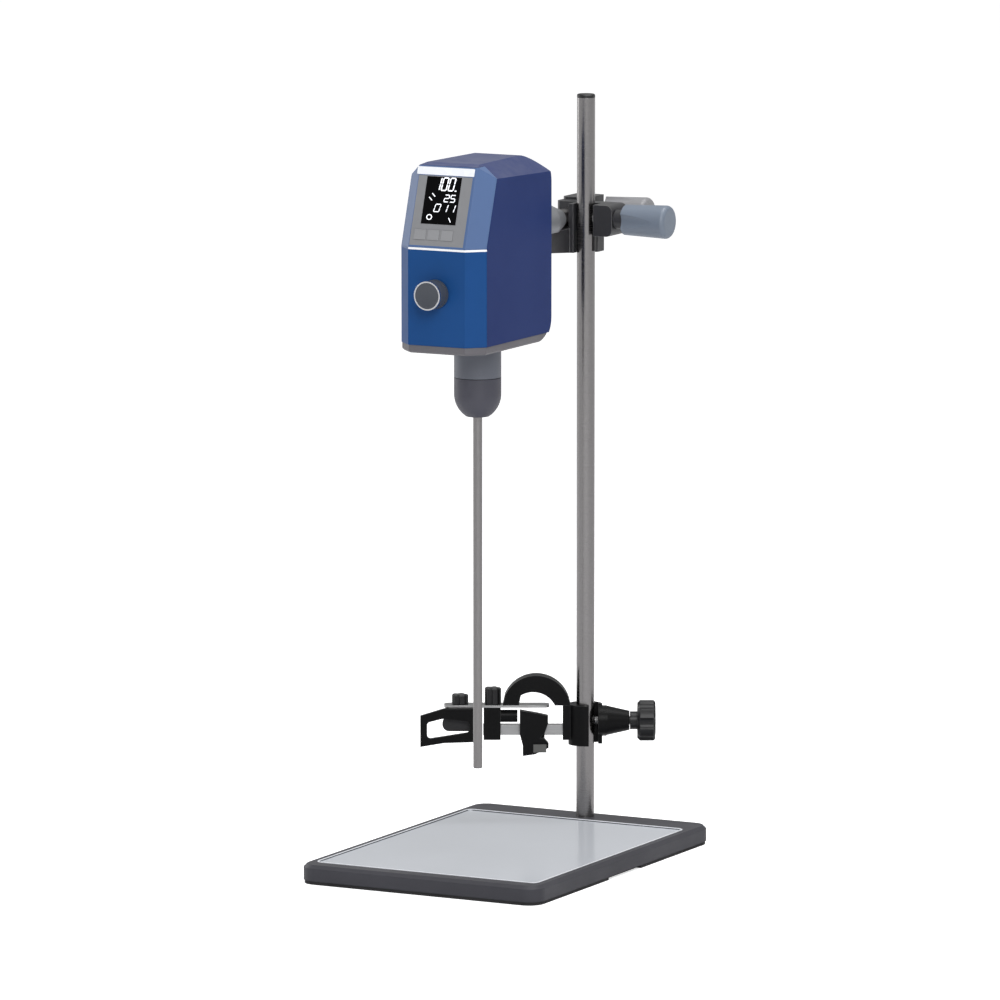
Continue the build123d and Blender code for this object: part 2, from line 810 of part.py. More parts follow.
def control_board():
    """The circuit board behind the lower front."""
    front = board_front()
    board = block(head_x - board_width / 2, head_x + board_width / 2, front, front + board_thickness,
                  board_bottom, board_bottom + board_height)
    relay = block(head_x - 20, head_x + 4, front + board_thickness, front + board_thickness + 9, 520, 532)
    chip = block(head_x + 8, head_x + 20, front + board_thickness, front + board_thickness + 2, 486, 498)
    capacitor = round_bar((head_x - 16, front + board_thickness, 484), (0, 1, 0), 5.0, 13.0)
    return board + relay + chip + capacitor


def encoder():
    """The encoder's case on the board, with the bush that reaches through the front."""
    half = encoder_size / 2
    case = block(head_x + knob_x - half, head_x + knob_x + half, head_front + wall, board_front(),
                 knob_z - half, knob_z + half)
    bush = round_bar((head_x + knob_x, head_front - 0.8, knob_z), (0, 1, 0), encoder_bush_d / 2, wall + 0.8)
    bore = round_bar((head_x + knob_x, head_front - 1, knob_z), (0, 1, 0),
                     encoder_shaft_d / 2 + fit_gap, wall + encoder_depth - 1)
    return case + bush - bore


def encoder_shaft():
    """The encoder's shaft, which turns and presses in."""
    start = head_front - control_knob_gap - control_knob_depth + 5
    end = head_front + wall + encoder_depth - 2.2 - encoder_travel
    return round_bar((head_x + knob_x, start, knob_z), (0, 1, 0), encoder_shaft_d / 2, end - start)


def control_knob():
    """The setting knob: a cupped cap with a slightly dished face and a knurled skirt."""
    back = head_front - control_knob_gap
    front = back - control_knob_depth
    radius = control_knob_d / 2
    body = round_bar((head_x + knob_x, front, knob_z), (0, 1, 0), radius - 0.4, control_knob_depth)
    body = fillet(body.edges().sort_by(Axis.Y)[0], 0.6)
    skirt = round_bar((head_x + knob_x, back - 3.5, knob_z), (0, 1, 0), radius, 3.5)
    body += skirt
    groove = round_bar((head_x + knob_x, front, knob_z), (0, 1, 0), radius, knob_ring_depth)
    groove -= round_bar((head_x + knob_x, front, knob_z), (0, 1, 0), radius - knob_ring_width,
                        knob_ring_depth)
    dish = Pos(head_x + knob_x, front - 59.2, knob_z) * Sphere(60)
    hollow = round_bar((head_x + knob_x, back - 5, knob_z), (0, 1, 0), radius - 3, 6)
    hollow -= round_bar((head_x + knob_x, back - 5, knob_z), (0, 1, 0), encoder_shaft_d / 2 + 2,
                        5 - encoder_travel - 0.3)
    bore = round_bar((head_x + knob_x, front + 5 - fit_gap, knob_z), (0, 1, 0), encoder_shaft_d / 2 + fit_gap,
                     control_knob_depth)
    return body - groove - dish - hollow - bore


def knob_ring():
    """The bright ring round the knob's face."""
    front = head_front - control_knob_gap - control_knob_depth
    radius = control_knob_d / 2
    ring = round_bar((head_x + knob_x, front, knob_z), (0, 1, 0), radius, knob_ring_depth)
    return ring - round_bar((head_x + knob_x, front, knob_z), (0, 1, 0), radius - knob_ring_width,
                            knob_ring_depth)


def power_inlet():
    """The mains inlet in the back: a shroud with a flange and three flat pins."""
    y_out = head_back
    flange = block(head_x - inlet_width / 2 - inlet_flange, head_x + inlet_width / 2 + inlet_flange,
                   y_out, y_out + 1.5, inlet_z - inlet_height / 2 - inlet_flange,
                   switch_z + switch_height / 2 + inlet_flange)
    flange -= block(head_x - switch_width / 2, head_x + switch_width / 2, y_out, y_out + 1.5,
                    switch_z - switch_height / 2, switch_z + switch_height / 2)
    shroud = block(head_x - inlet_width / 2 + loose_gap, head_x + inlet_width / 2 - loose_gap,
                   y_out - inlet_depth, y_out + 1.5, inlet_z - inlet_height / 2 + loose_gap,
                   inlet_z + inlet_height / 2 - loose_gap)
    cavity = block(head_x - inlet_width / 2 + inlet_wall, head_x + inlet_width / 2 - inlet_wall,
                   y_out - inlet_depth + 3, y_out + 2, inlet_z - inlet_height / 2 + inlet_wall,
                   inlet_z + inlet_height / 2 - inlet_wall)
    body = flange + shroud - cavity
    for dx, dz in ((-7.0, -2.0), (0.0, 2.5), (7.0, -2.0)):
        body += block(head_x + dx - inlet_pin_thickness / 2, head_x + dx + inlet_pin_thickness / 2,
                      y_out - inlet_depth + 2, y_out - inlet_depth + 2 + inlet_pin_length,
                      inlet_z + dz - inlet_pin_width / 2, inlet_z + dz + inlet_pin_width / 2)
    return body


def power_module():
    """The moulded module in the back: the inlet below and the frame of the rocker switch above."""
    frame, rocker = switch_frame_and_rocker()
    return power_inlet() + frame


def switch_frame_and_rocker():
    """The rocker switch: the framed body, and the rocker that tips in it."""
    y_out = head_back
    outer = block(head_x - switch_width / 2 - 1.6, head_x + switch_width / 2 + 1.6, y_out, y_out + 1.8,
                  switch_z - switch_height / 2 - 1.6, switch_z + switch_height / 2 + 1.6)
    body = block(head_x - switch_width / 2 + loose_gap, head_x + switch_width / 2 - loose_gap,
                 y_out - switch_depth, y_out + 1.8, switch_z - switch_height / 2 + loose_gap,
                 switch_z + switch_height / 2 - loose_gap)
    cavity = block(head_x - switch_width / 2 + 1.6, head_x + switch_width / 2 - 1.6, y_out - 8, y_out + 3,
                   switch_z - switch_height / 2 + 1.6, switch_z + switch_height / 2 - 1.6)
    frame = outer + body - cavity
    half = switch_width / 2 - 2.0
    bottom = -5.2
    points = [(-half, 1.9), (-half + 1.2, bottom + 2.4), (0, bottom), (half - 1.2, bottom + 2.4),
              (half, 1.9), (0, 0.9)]
    height = switch_height - 4.0
    plane = Plane(origin=(head_x, y_out, switch_z - height / 2), x_dir=(1, 0, 0), z_dir=(0, 0, 1))
    rocker = prism(points, plane, height)
    pivot_y = y_out - rocker_pivot_depth
    rocker = rocker.rotate(Axis((head_x, pivot_y, switch_z), (0, 0, 1)), switch_tilt)
    rocker += upright(head_x, pivot_y, switch_z - height / 2 - rocker_pivot_reach,
                      switch_z + height / 2 + rocker_pivot_reach, rocker_pivot_d / 2)
    return frame, rocker


def motor_plate():
    """The plate that carries the motor and the lower bearing on the tray's floor."""
    plate = upright(head_x, spindle_y, motor_plate_bottom, motor_bottom, motor_r + 2)
    plate -= upright(head_x, spindle_y, motor_plate_bottom, motor_bottom, spindle_d / 2 + 1.5)
    plate -= upright(head_x, spindle_y, motor_plate_bottom, motor_plate_bottom + lower_bearing_height,
                     lower_bearing_d / 2)
    return plate


def motor_stator():
    """The motor's can with its windings' bore and the seat of the upper bearing."""
    can = upright(head_x, spindle_y, motor_bottom, motor_top, motor_r)
    bore_top = motor_bottom + stator_height + 8
    can -= upright(head_x, spindle_y, motor_bottom, bore_top, motor_bore_r)
    can -= upright(head_x, spindle_y, bore_top, motor_top, spindle_top_d / 2 + 2)
    can -= upright(head_x, spindle_y, motor_top - upper_bearing_height, motor_top, upper_bearing_d / 2)
    end_room = motor_bottom + 6
    can -= upright(head_x, spindle_y, motor_bottom, end_room, motor_r - motor_wall)
    return can


def motor_rotor():
    """The magnet rotor on the spindle."""
    low = motor_bottom + 7
    rotor = upright(head_x, spindle_y, low, low + stator_height - 2, rotor_r)
    return rotor - upright(head_x, spindle_y, low, low + stator_height - 2, spindle_d / 2)


def bearing(z0, height, outer_d, inner_d):
    """A ball bearing as one closed ring with a groove between its races on each side."""
    ring = upright(head_x, spindle_y, z0, z0 + height, outer_d / 2)
    ring -= upright(head_x, spindle_y, z0, z0 + height, inner_d / 2 + fit_gap)
    middle = (outer_d + inner_d) / 4
    for low in (z0, z0 + height - 0.8):
        groove = upright(head_x, spindle_y, low, low + 0.8, middle + 1.5)
        groove -= upright(head_x, spindle_y, low, low + 0.8, middle - 1.5)
        ring -= groove
    return ring


def spindle_bearings():
    """The lower and the upper bearing of the spindle."""
    lower = bearing(motor_plate_bottom, lower_bearing_height, lower_bearing_d, spindle_d)
    upper = bearing(motor_top - upper_bearing_height, upper_bearing_height, upper_bearing_d, spindle_top_d)
    return Compound(children=[lower, upper])


def spindle():
    """The motor spindle, from the upper bearing down into the chuck."""
    shoulder = motor_bottom + stator_height + 8
    lower = upright(head_x, spindle_y, chuck_top - 12, shoulder, spindle_d / 2)
    upper = upright(head_x, spindle_y, shoulder, motor_top - 0.5, spindle_top_d / 2)
    return lower + upper


def jaw_direction(turn):
    """The way a jaw slides open: up and outwards at the jaw angle."""
    tilt = math.radians(jaw_angle)
    turned = math.radians(turn)
    return Vector(math.sin(tilt) * math.cos(turned), math.sin(tilt) * math.sin(turned), math.cos(tilt))


def jaw_axis_start(turn):
    """The lower end of a jaw's centre line, set so that its inner side meets the rod at the tip."""
    tilt = math.radians(jaw_angle)
    turned = math.radians(turn)
    tip_z = sleeve_bottom + jaw_tip_rise
    reach = rod_d / 2 + jaw_d / 2 * math.cos(tilt) - jaw_tip_land * math.sin(tilt) * 0.5
    return Vector(head_x + reach * math.cos(turned), spindle_y + reach * math.sin(turned), tip_z)


def jaw(turn):
    """One chuck jaw: a slanting round bar, ground away along the rod and blunt at the tip."""
    direction = jaw_direction(turn)
    start = jaw_axis_start(turn)
    body = round_bar(tuple(start - direction * 6), tuple(direction), jaw_d / 2, jaw_length + 6)
    body -= upright(head_x, spindle_y, sleeve_bottom - 20, chuck_top, rod_d / 2 + fit_gap)
    body -= block(head_x - 30, head_x + 30, spindle_y - 30, spindle_y + 30, sleeve_bottom - 30,
                  sleeve_bottom + jaw_tip_rise)
    return body


def chuck_body():
    """The chuck's core: the plain collar above, the bored nose below that guides the jaws."""
    collar = upright(head_x, spindle_y, collar_bottom, chuck_top, chuck_d / 2)
    collar = chamfer(collar.edges().sort_by(Axis.Z)[-1], 1.2)
    core = upright(head_x, spindle_y, sleeve_bottom + 6, collar_bottom, chuck_core_d / 2)
    body = collar + core
    nose_cut = Pos(head_x, spindle_y, sleeve_bottom) * dome_form(sleeve_wall + 0.4)
    lower = block(head_x - 30, head_x + 30, spindle_y - 30, spindle_y + 30, collar_bottom - 60,
                  collar_bottom - 1)
    body = body - (lower - nose_cut)
    body -= upright(head_x, spindle_y, chuck_top - 12, chuck_top, spindle_d / 2)
    body -= upright(head_x, spindle_y, sleeve_bottom - 1, chuck_top - 13, rod_d / 2 + 0.4)
    for turn in (30, 150, 270):
        direction = jaw_direction(turn)
        start = jaw_axis_start(turn) - direction * 12
        body -= round_bar(tuple(start), tuple(direction), jaw_d / 2 + fit_gap, jaw_length + jaw_travel + 14)
    return body


def dome_form(inset):
    """The sleeve's outer form below the seam, moved in by an inset: a round dome under a straight skirt."""
    radius = chuck_d / 2 - inset
    nose = chuck_nose_d / 2 - inset * 0.6
    profile = [
        Line((0, inset), (nose, inset)),
        ThreePointArc((nose, inset), (radius * dome_swell, dome_height * 0.3 + inset * 0.6),
                      (radius, dome_height)),
        Line((radius, dome_height), (radius, sleeve_height)),
        Line((radius, sleeve_height), (0, sleeve_height)),
        Line((0, sleeve_height), (0, inset)),
    ]
    return revolve(Plane.XZ * make_face(Wire(profile)), Axis.Z)


def chuck_sleeve():
    """The turning sleeve that draws the jaws in: a domed cap with a grip band."""
    sleeve = Pos(head_x, spindle_y, sleeve_bottom) * dome_form(0)
    hollow = Pos(head_x, spindle_y, sleeve_bottom) * dome_form(sleeve_wall)
    sleeve -= hollow
    sleeve -= upright(head_x, spindle_y, sleeve_bottom - 1, sleeve_bottom + 8, chuck_mouth_r)
    gap = block(head_x - 30, head_x + 30, spindle_y - 30, spindle_y + 30, collar_bottom - 0.5,
                collar_bottom + 5)
    return sleeve - gap


def stirring_rod():
    """The plain steel rod held in the chuck."""
    bar = upright(head_x, spindle_y, rod_bottom, rod_top, rod_d / 2)
    return chamfer(bar.edges().sort_by(Axis.Z)[0], 0.6)


def clamp_place(piece):
    """Carries a piece of the vessel clamp from its own frame, x away from the column, to its place."""
    return Pos(0, column_y, 0) * Rot(0, 0, clamp_swing) * piece


def clamp_side_plane(offset):
    """A vertical plane along the clamp's arm, seen from its front."""
    return Plane(origin=(0, offset, 0), x_dir=(1, 0, 0), z_dir=(0, -1, 0))


def arch_outline(inset):
    """The arch's side view, moved in by an inset: a round crown on two legs."""
    span = arch_end - arch_start - 2 * inset
    crown = arch_top - inset
    foot = strip_bottom + strip_thickness
    start = arch_start + inset
    return Wire([
        Line((start, foot), (start + 0.5, foot + 1)),
        ThreePointArc((start + 0.5, foot + 1), (start + span * 0.62, crown), (start + span - 2, foot + 9)),
        Line((start + span - 2, foot + 9), (start + span, foot)),
        Line((start + span, foot), (start, foot)),
    ])


def clamp_boss():
    """The clamp's casting: a hook round the column, a conical lug for its screw and a ribbed arch."""
    inner = column_d / 2 + fit_gap
    outer = inner + clamp_boss_wall
    hook = upright(0, 0, clamp_boss_bottom, clamp_boss_top, outer)
    hook += block(-outer - 4, 0, -outer, -inner + 2, clamp_boss_bottom + 6, clamp_boss_top - 4)
    mouth = block(-outer - 20, -3.0, 0, outer + 5, clamp_boss_bottom - 1, clamp_boss_top + 1)
    cone_length = clamp_lug_start - clamp_lug_end
    lug_place = Plane(origin=(clamp_lug_start, 0, clamp_screw_z), z_dir=(-1, 0, 0))
    cone = lug_place * Cylinder(clamp_lug_r, clamp_lug_straight,
                                align=(Align.CENTER, Align.CENTER, Align.MIN))
    cone += lug_place * Pos(0, 0, clamp_lug_straight) * Cone(
        clamp_lug_r, clamp_lug_end_r, cone_length - clamp_lug_straight,
        align=(Align.CENTER, Align.CENTER, Align.MIN)
    )
    beam = block(inner, beam_end, -7, 7, bar_bottom - 4, strip_bottom + strip_thickness)
    boss = hook - mouth + cone + beam
    arch = extrude(clamp_side_plane(arch_width / 2) * make_face(arch_outline(0)), arch_width)
    window = extrude(clamp_side_plane(arch_width) * make_face(arch_outline(arch_band)), 2 * arch_width)
    boss += arch - window
    boss -= upright(0, 0, clamp_boss_bottom - 1, clamp_boss_top + 1, inner)
    pocket_r = inner + fit_gap + liner_wall
    boss -= upright(0, 0, clamp_liner_bottom - fit_gap, clamp_liner_bottom + clamp_liner_height + fit_gap,
                    pocket_r)
    boss -= block(-column_d / 2 - 3.4, 0, -inner, inner, clamp_boss_bottom - 1, clamp_boss_top + 1)
    boss -= round_bar((0, 0, clamp_screw_z), (-1, 0, 0), clamp_screw_d / 2 + screw_gap, -clamp_lug_end + 2)
    boss -= block(bar_start, bar_end, -bar_width / 2, bar_width / 2, bar_bottom, bar_bottom + bar_height)
    boss -= block(strip_start, strip_end, -strip_width / 2, strip_width / 2, strip_bottom - 10,
                  strip_bottom + strip_thickness)
    boss -= upright(wing_strip_x(), 0, strip_bottom, arch_top, wing_screw_d / 2 + screw_gap)
    return clamp_place(boss)


def wing_strip_x():
    """Where the wing screw of the strip stands."""
    return arch_end + 9.0


def clamp_screw():
    """The screw of the vessel clamp."""
    start = -column_d / 2 - fit_gap
    end = clamp_knob_end + 4
    return clamp_place(round_bar((start, 0, clamp_screw_z), (-1, 0, 0), clamp_screw_d / 2, start - end))


def clamp_knob():
    """The star knob of the vessel clamp: six lobes with valleys between them on a round neck."""
    length = clamp_knob_start - clamp_knob_end
    place = Plane(origin=(clamp_knob_start, 0, clamp_screw_z), z_dir=(-1, 0, 0))
    star = extrude(Circle(clamp_knob_r), length)
    step = 360.0 / clamp_knob_lobes
    for i in range(clamp_knob_lobes):
        star -= Rot(0, 0, (i + 0.5) * step) * Pos(clamp_knob_r + 3.6, 0, 0) * extrude(Circle(6.6), length)
    star = chamfer(star.edges().group_by(Axis.Z)[-1], 1.6)
    star = chamfer(star.edges().group_by(Axis.Z)[0], 2.4)
    neck_end = clamp_lug_end - free_gap
    neck = Plane(origin=(neck_end, 0, clamp_screw_z), z_dir=(-1, 0, 0)) * extrude(
        Circle(clamp_knob_neck_r), neck_end - clamp_knob_start
    )
    bore = round_bar((neck_end + 1, 0, clamp_screw_z), (-1, 0, 0), clamp_screw_d / 2 + screw_gap,
                     neck_end + 1 - clamp_knob_end - 3)
    return clamp_place(place * star + neck - bore)


def clamp_strip():
    """The steel strip that the jaws hang from."""
    strip = block(strip_start, strip_end, -strip_width / 2, strip_width / 2, strip_bottom,
                  strip_bottom + strip_thickness)
    strip = fillet(strip.edges().filter_by(Axis.Z), 5.0)
    strip -= upright(fork_pivot, 0, strip_bottom, strip_bottom + strip_thickness,
                     wing_screw_d / 2 + screw_gap)
    strip -= upright(wing_strip_x(), 0, strip_bottom, strip_bottom + strip_thickness,
                     wing_screw_d / 2 + screw_gap)
    return clamp_place(strip)


def guide_bar():
    """The square bar that guides the sliding jaw."""
    return clamp_place(block(bar_start, bar_end, -bar_width / 2, bar_width / 2, bar_bottom,
                             bar_bottom + bar_height))


def spacer_block():
    """The tubular spacer between strip and bar, with the foot that stands on the bar's end."""
    tube = round_bar((tube_start, 0, tube_z), (1, 0, 0), tube_d / 2, tube_end - tube_start)
    post = block(wing_strip_x() - 7, tube_end, -7, 7, bar_bottom - 4, strip_bottom)
    post -= block(bar_start, bar_end, -bar_width / 2, bar_width / 2, bar_bottom, bar_bottom + bar_height)
    post -= upright(wing_strip_x(), 0, tube_z, strip_bottom, wing_screw_d / 2 + screw_gap)
    tube -= upright(wing_strip_x(), 0, tube_z, strip_bottom, wing_screw_d / 2 + screw_gap)
    return clamp_place(post + tube)


def fork_jaw():
    """The outer jaw: a pressed plate with a flange under the strip and a long window in its face."""
    points = [
        (fork_root, fork_top),
        (125.0, fork_top),
        (fork_tip, fork_top - 6.5),
        (fork_tip, fork_bottom),
        (125.0, fork_bottom + 3.5),
        (fork_root, fork_bottom + 4.5),
    ]
    plane = clamp_side_plane(fork_front)
    plate = prism(points, plane, fork_plate)
    inner = [
        (fork_root + 9, fork_top - 12),
        (126.5, fork_top - fork_band - 3),
        (fork_tip - fork_band, fork_top - 6.5 - fork_band),
        (fork_tip - fork_band, fork_bottom + fork_band + 1),
        (fork_root + 9, fork_bottom + fork_band + 7),
    ]
    window = prism(inner, clamp_side_plane(fork_front + 1), fork_plate + 2)
    window = fillet(window.edges().filter_by(Axis.Y), 3.0)
    plate -= window
    flange = block(fork_root + 5, 124, -7.5, fork_front - fork_plate + 0.5, fork_top - 3, fork_top)
    flange -= upright(fork_pivot, 0, fork_top - 4, fork_top, wing_screw_d / 2 + screw_gap)
    return clamp_place(plate + flange)


def hook_jaw():
    """The sliding jaw: a carriage round the guide bar and a hooked plate in front of it."""
    outline = [
        (hook_end, 113.8), (hook_end, 92.4), (hook_end - 2.5, 82.8), (hook_end - 2.7, 72.9),
        (44.6, 74.4), (hook_start - 0.5, 80.2), (hook_start - 0.5, 84.0), (36.0, 88.0),
        (40.2, 89.5), (36.0, 93.5), (hook_start, 102.0), (hook_start, 109.0), (42.0, 111.0),
    ]
    plate = prism(outline, clamp_side_plane(hook_front), hook_plate)
    carriage = block(hook_start + 3, hook_end - 1, -7, hook_front - hook_plate + 0.5, bar_bottom - 4,
                     bar_bottom + bar_height + 4)
    slot = bar_width / 2 + fit_gap
    carriage -= block(hook_start, hook_end, -slot, slot, bar_bottom - fit_gap,
                      bar_bottom + bar_height + fit_gap)
    return clamp_place(plate + carriage)


def jaw_pads():
    """The rubber pads: one on the hook's tip, one behind the fork's window."""
    hook_pad = block(hook_start + 1.5, hook_start + 13, hook_front, hook_front + 2.5, 76.5, 83.5)
    return clamp_place(hook_pad)


def fork_pad():
    """The rubber pad behind the fork's window."""
    plane = clamp_side_plane(fork_front - fork_plate)
    disc = extrude(plane * Pos(111.5, 101, 0) * RectangleRounded(30, 13, 6.0), 3.0)
    return clamp_place(disc)


def wing_screw(x, bottom, seat, height):
    """A lobed thumb screw with its shank."""
    head = Pos(x, 0, seat) * extrude(Circle(wing_d / 2), height)
    for i in range(5):
        valley = Pos(wing_d / 2 + 1.2, 0, 0) * extrude(Circle(3.0), height)
        head -= Pos(x, 0, seat) * Rot(0, 0, i * 72.0) * valley
    head = chamfer(head.edges().group_by(Axis.Z)[-1], 1.0)
    shank = upright(x, 0, bottom, seat, wing_screw_d / 2)
    return clamp_place(head + shank)


def wing_screw_fork():
    """The thumb screw that is the fork's pivot and locks it."""
    return wing_screw(fork_pivot, fork_top - 3, strip_bottom + strip_thickness, wing_height)


def wing_screw_strip():
    """The thumb screw that holds the strip on the spacer."""
    return wing_screw(wing_strip_x(), tube_z + 1, strip_bottom + strip_thickness, foot_knob_height)


def main():
    """Makes each piece and writes it to its own file."""
    shell = head_form(0) - head_form(wall) - block(
        head_x - head_width, head_x + head_width, head_front - 5, head_back + 5, tray_bottom - 1, head_bottom
    )
    rocker = switch_frame_and_rocker()[1]
    pieces = {
        "base_frame": base_frame(),
        "base_panel": base_panel(),
        "ballast_plate": ballast_plate(),
        "ballast_screws": ballast_screws(),
        "foot_ring": foot_ring(),
        "column": column(),
        "column_nut": column_nut(),
        "column_cap": column_cap(),
        "column_liner": column_liner(),
        "boss_head": boss_head(),
        "column_screw": column_screw(),
        "column_knob": column_knob(),
        "arm_screw": arm_screw(),
        "arm_knob": arm_knob(),
        "arm_rod": arm_rod(),
        "arm_sleeve": arm_sleeve(),
        "arm_nut": arm_nut(),
        "main_housing": main_housing(shell),
        "front_cover": front_cover(shell),
        "display_bezel": display_bezel(shell),
        "accent_strip": accent_strip(shell),
        "fascia": fascia(),
        "display_lens": display_lens(),
        "display_module": display_module(),
        "bottom_cover": bottom_cover(),
        "housing_screws": housing_screws(),
        "control_board": control_board(),
        "encoder": encoder(),
        "encoder_shaft": encoder_shaft(),
        "control_knob": control_knob(),
        "knob_ring": knob_ring(),
        "power_module": power_module(),
        "power_rocker": rocker,
        "motor_plate": motor_plate(),
        "motor_stator": motor_stator(),
        "motor_rotor": motor_rotor(),
        "spindle_bearings": spindle_bearings(),
        "spindle": spindle(),
        "chuck_body": chuck_body(),
        "chuck_sleeve": chuck_sleeve(),
        "stirring_rod": stirring_rod(),
        "clamp_liner": clamp_liner(),
        "clamp_boss": clamp_boss(),
        "clamp_screw": clamp_screw(),
        "clamp_knob": clamp_knob(),
        "clamp_strip": clamp_strip(),
        "guide_bar": guide_bar(),
        "spacer_block": spacer_block(),
        "fork_jaw": fork_jaw(),
        "hook_jaw": hook_jaw(),
        "hook_pad": jaw_pads(),
        "fork_pad": fork_pad(),
        "wing_screw_fork": wing_screw_fork(),
        "wing_screw_strip": wing_screw_strip(),
    }
    for name, (u, v) in zip(("key_left", "key_middle", "key_right"), key_places()):
        pieces[name] = key(u, v)
    for name, turn in zip(("chuck_jaw_a", "chuck_jaw_b", "chuck_jaw_c"), (30, 150, 270)):
        pieces[name] = jaw(turn)
    os.makedirs("parts", exist_ok=True)
    for name, piece in pieces.items():
        export_step(piece, os.path.join("parts", name + ".step"))


main()
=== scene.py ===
import math

import bmesh
import bpy
import numpy as np
from bpy.props import FloatProperty, FloatVectorProperty, IntProperty, PointerProperty
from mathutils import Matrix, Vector


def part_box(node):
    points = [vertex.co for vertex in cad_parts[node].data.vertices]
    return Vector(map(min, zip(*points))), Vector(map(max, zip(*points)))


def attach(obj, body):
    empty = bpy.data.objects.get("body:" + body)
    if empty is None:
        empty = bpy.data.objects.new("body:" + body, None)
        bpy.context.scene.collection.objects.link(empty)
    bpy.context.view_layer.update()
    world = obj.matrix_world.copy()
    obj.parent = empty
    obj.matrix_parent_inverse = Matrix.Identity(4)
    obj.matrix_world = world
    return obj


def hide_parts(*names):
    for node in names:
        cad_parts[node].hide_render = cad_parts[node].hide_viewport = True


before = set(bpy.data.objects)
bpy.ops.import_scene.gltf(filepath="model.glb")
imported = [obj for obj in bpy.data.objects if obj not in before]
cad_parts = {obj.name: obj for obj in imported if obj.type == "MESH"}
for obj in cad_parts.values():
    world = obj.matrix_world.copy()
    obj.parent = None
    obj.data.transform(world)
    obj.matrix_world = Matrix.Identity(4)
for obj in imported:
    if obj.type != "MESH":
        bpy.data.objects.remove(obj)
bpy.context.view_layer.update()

bl_info = {
    "name": "Overhead stirrer",
    "version": (1, 0, 0),
    "blender": (4, 5, 0),
    "location": "View3D > Sidebar > Stirrer",
    "description": "Finishes, printed details and stage of an overhead stirrer on a plate stand",
    "category": "Object",
}


def tone(red, green, blue):
    """A colour for the shaders from its 8-bit screen values."""
    screen = np.array([red, green, blue]) / 255.0
    light = np.where(screen <= 0.04045, screen / 12.92, ((screen + 0.055) / 1.055) ** 2.4)
    return tuple(float(v) for v in light)


# Settings


def colour(name, description, default):
    """A colour setting."""
    return FloatVectorProperty(name=name, description=description, default=default, subtype="COLOR",
                               size=3, min=0.0, max=1.0)


def length(name, description, default):
    """A length setting in metres."""
    return FloatProperty(name=name, description=description, default=default, unit="LENGTH",
                         subtype="DISTANCE", precision=5)


class StirrerColours(bpy.types.PropertyGroup):
    """The colours of the stirrer's finishes."""

    shell: colour("Housing", "Blue of the drawn housing", tone(38, 54, 104))
    # The lower front and the display bezel use lighter copies of the housing blue: painted light for the
    # faces that catch more light.
    front_lit_blue: colour("Lower front", "Housing blue painted lighter for the lit lower front cover", tone(28, 73, 130))
    bezel_lit_blue: colour("Display bezel", "Housing blue painted lighter for the lit leaning upper front", tone(82, 106, 148))
    overlay: colour("Overlay", "Grey film round the display", tone(132, 133, 136))
    keys: colour("Keys", "Grey of the three keys", tone(142, 143, 146))
    tray: colour("Bottom tray", "Grey of the tray under the head", tone(98, 96, 101))
    accent: colour("Accent strip", "White strip between the front pieces", tone(244, 245, 247))
    label: colour("Bare label", "White field above the display", tone(240, 243, 248))
    lens: colour("Display window", "Black of the display window", tone(3, 3, 4))
    digits: colour("Display digits", "White of the lit figures", tone(245, 248, 252))
    setting_knob: colour("Setting knob", "Dark grey of the setting knob", tone(66, 70, 78))
    frame_grey: colour("Base frame", "Dark grey of the base", tone(62, 62, 68))
    panel: colour("Work plate", "Pale blue-grey of the work plate", tone(198, 202, 209))
    steel: colour("Bare steel", "Column, arm and rods", tone(138, 136, 136))
    zinc: colour("Plated steel", "Screws, strip and nuts", tone(170, 170, 170))
    cast: colour("Boss casting", "Dark coat on the boss head", tone(46, 46, 49))
    clamp_black: colour("Clamp casting", "Black coat on the vessel clamp", tone(11, 11, 12))
    black_plastic: colour("Black plastic", "Caps and thumb screws", tone(20, 20, 22))
    near_knob: colour("Near clamping knob", "Blue-grey of the column knob", tone(112, 122, 136))
    far_knob: colour("Far clamping knob", "Warm grey of the arm knob", tone(136, 136, 139))
    arm_sleeve: colour("Arm sleeve", "Grey of the tapered sleeve", tone(150, 152, 156))
    collar: colour("Chuck collar", "Grey of the chuck's collar", tone(98, 102, 112))
    dome: colour("Chuck sleeve", "Dark grey of the chuck's sleeve", tone(66, 66, 77))
    rubber: colour("Rubber", "Foot ring and pads", tone(36, 36, 38))
    pad: colour("Jaw pads", "Grey rubber of the jaw pads", tone(92, 92, 90))
    # Painted highlight: the lip's near-white stands for the highlight along the work plate's edge.
    highlight_lip: colour("Plate highlight lip", "Painted highlight round the work plate", tone(232, 235, 240))
    bright_ring: colour("Knob ring", "Bright ring of the setting knob", tone(205, 205, 208))
    disc: colour("Knob disc", "Grey disc in the star knob", tone(98, 98, 100))
    board: colour("Circuit board", "Green of the board", tone(24, 86, 52))
    brass: colour("Contact pins", "Brass of the inlet's pins", tone(186, 160, 96))


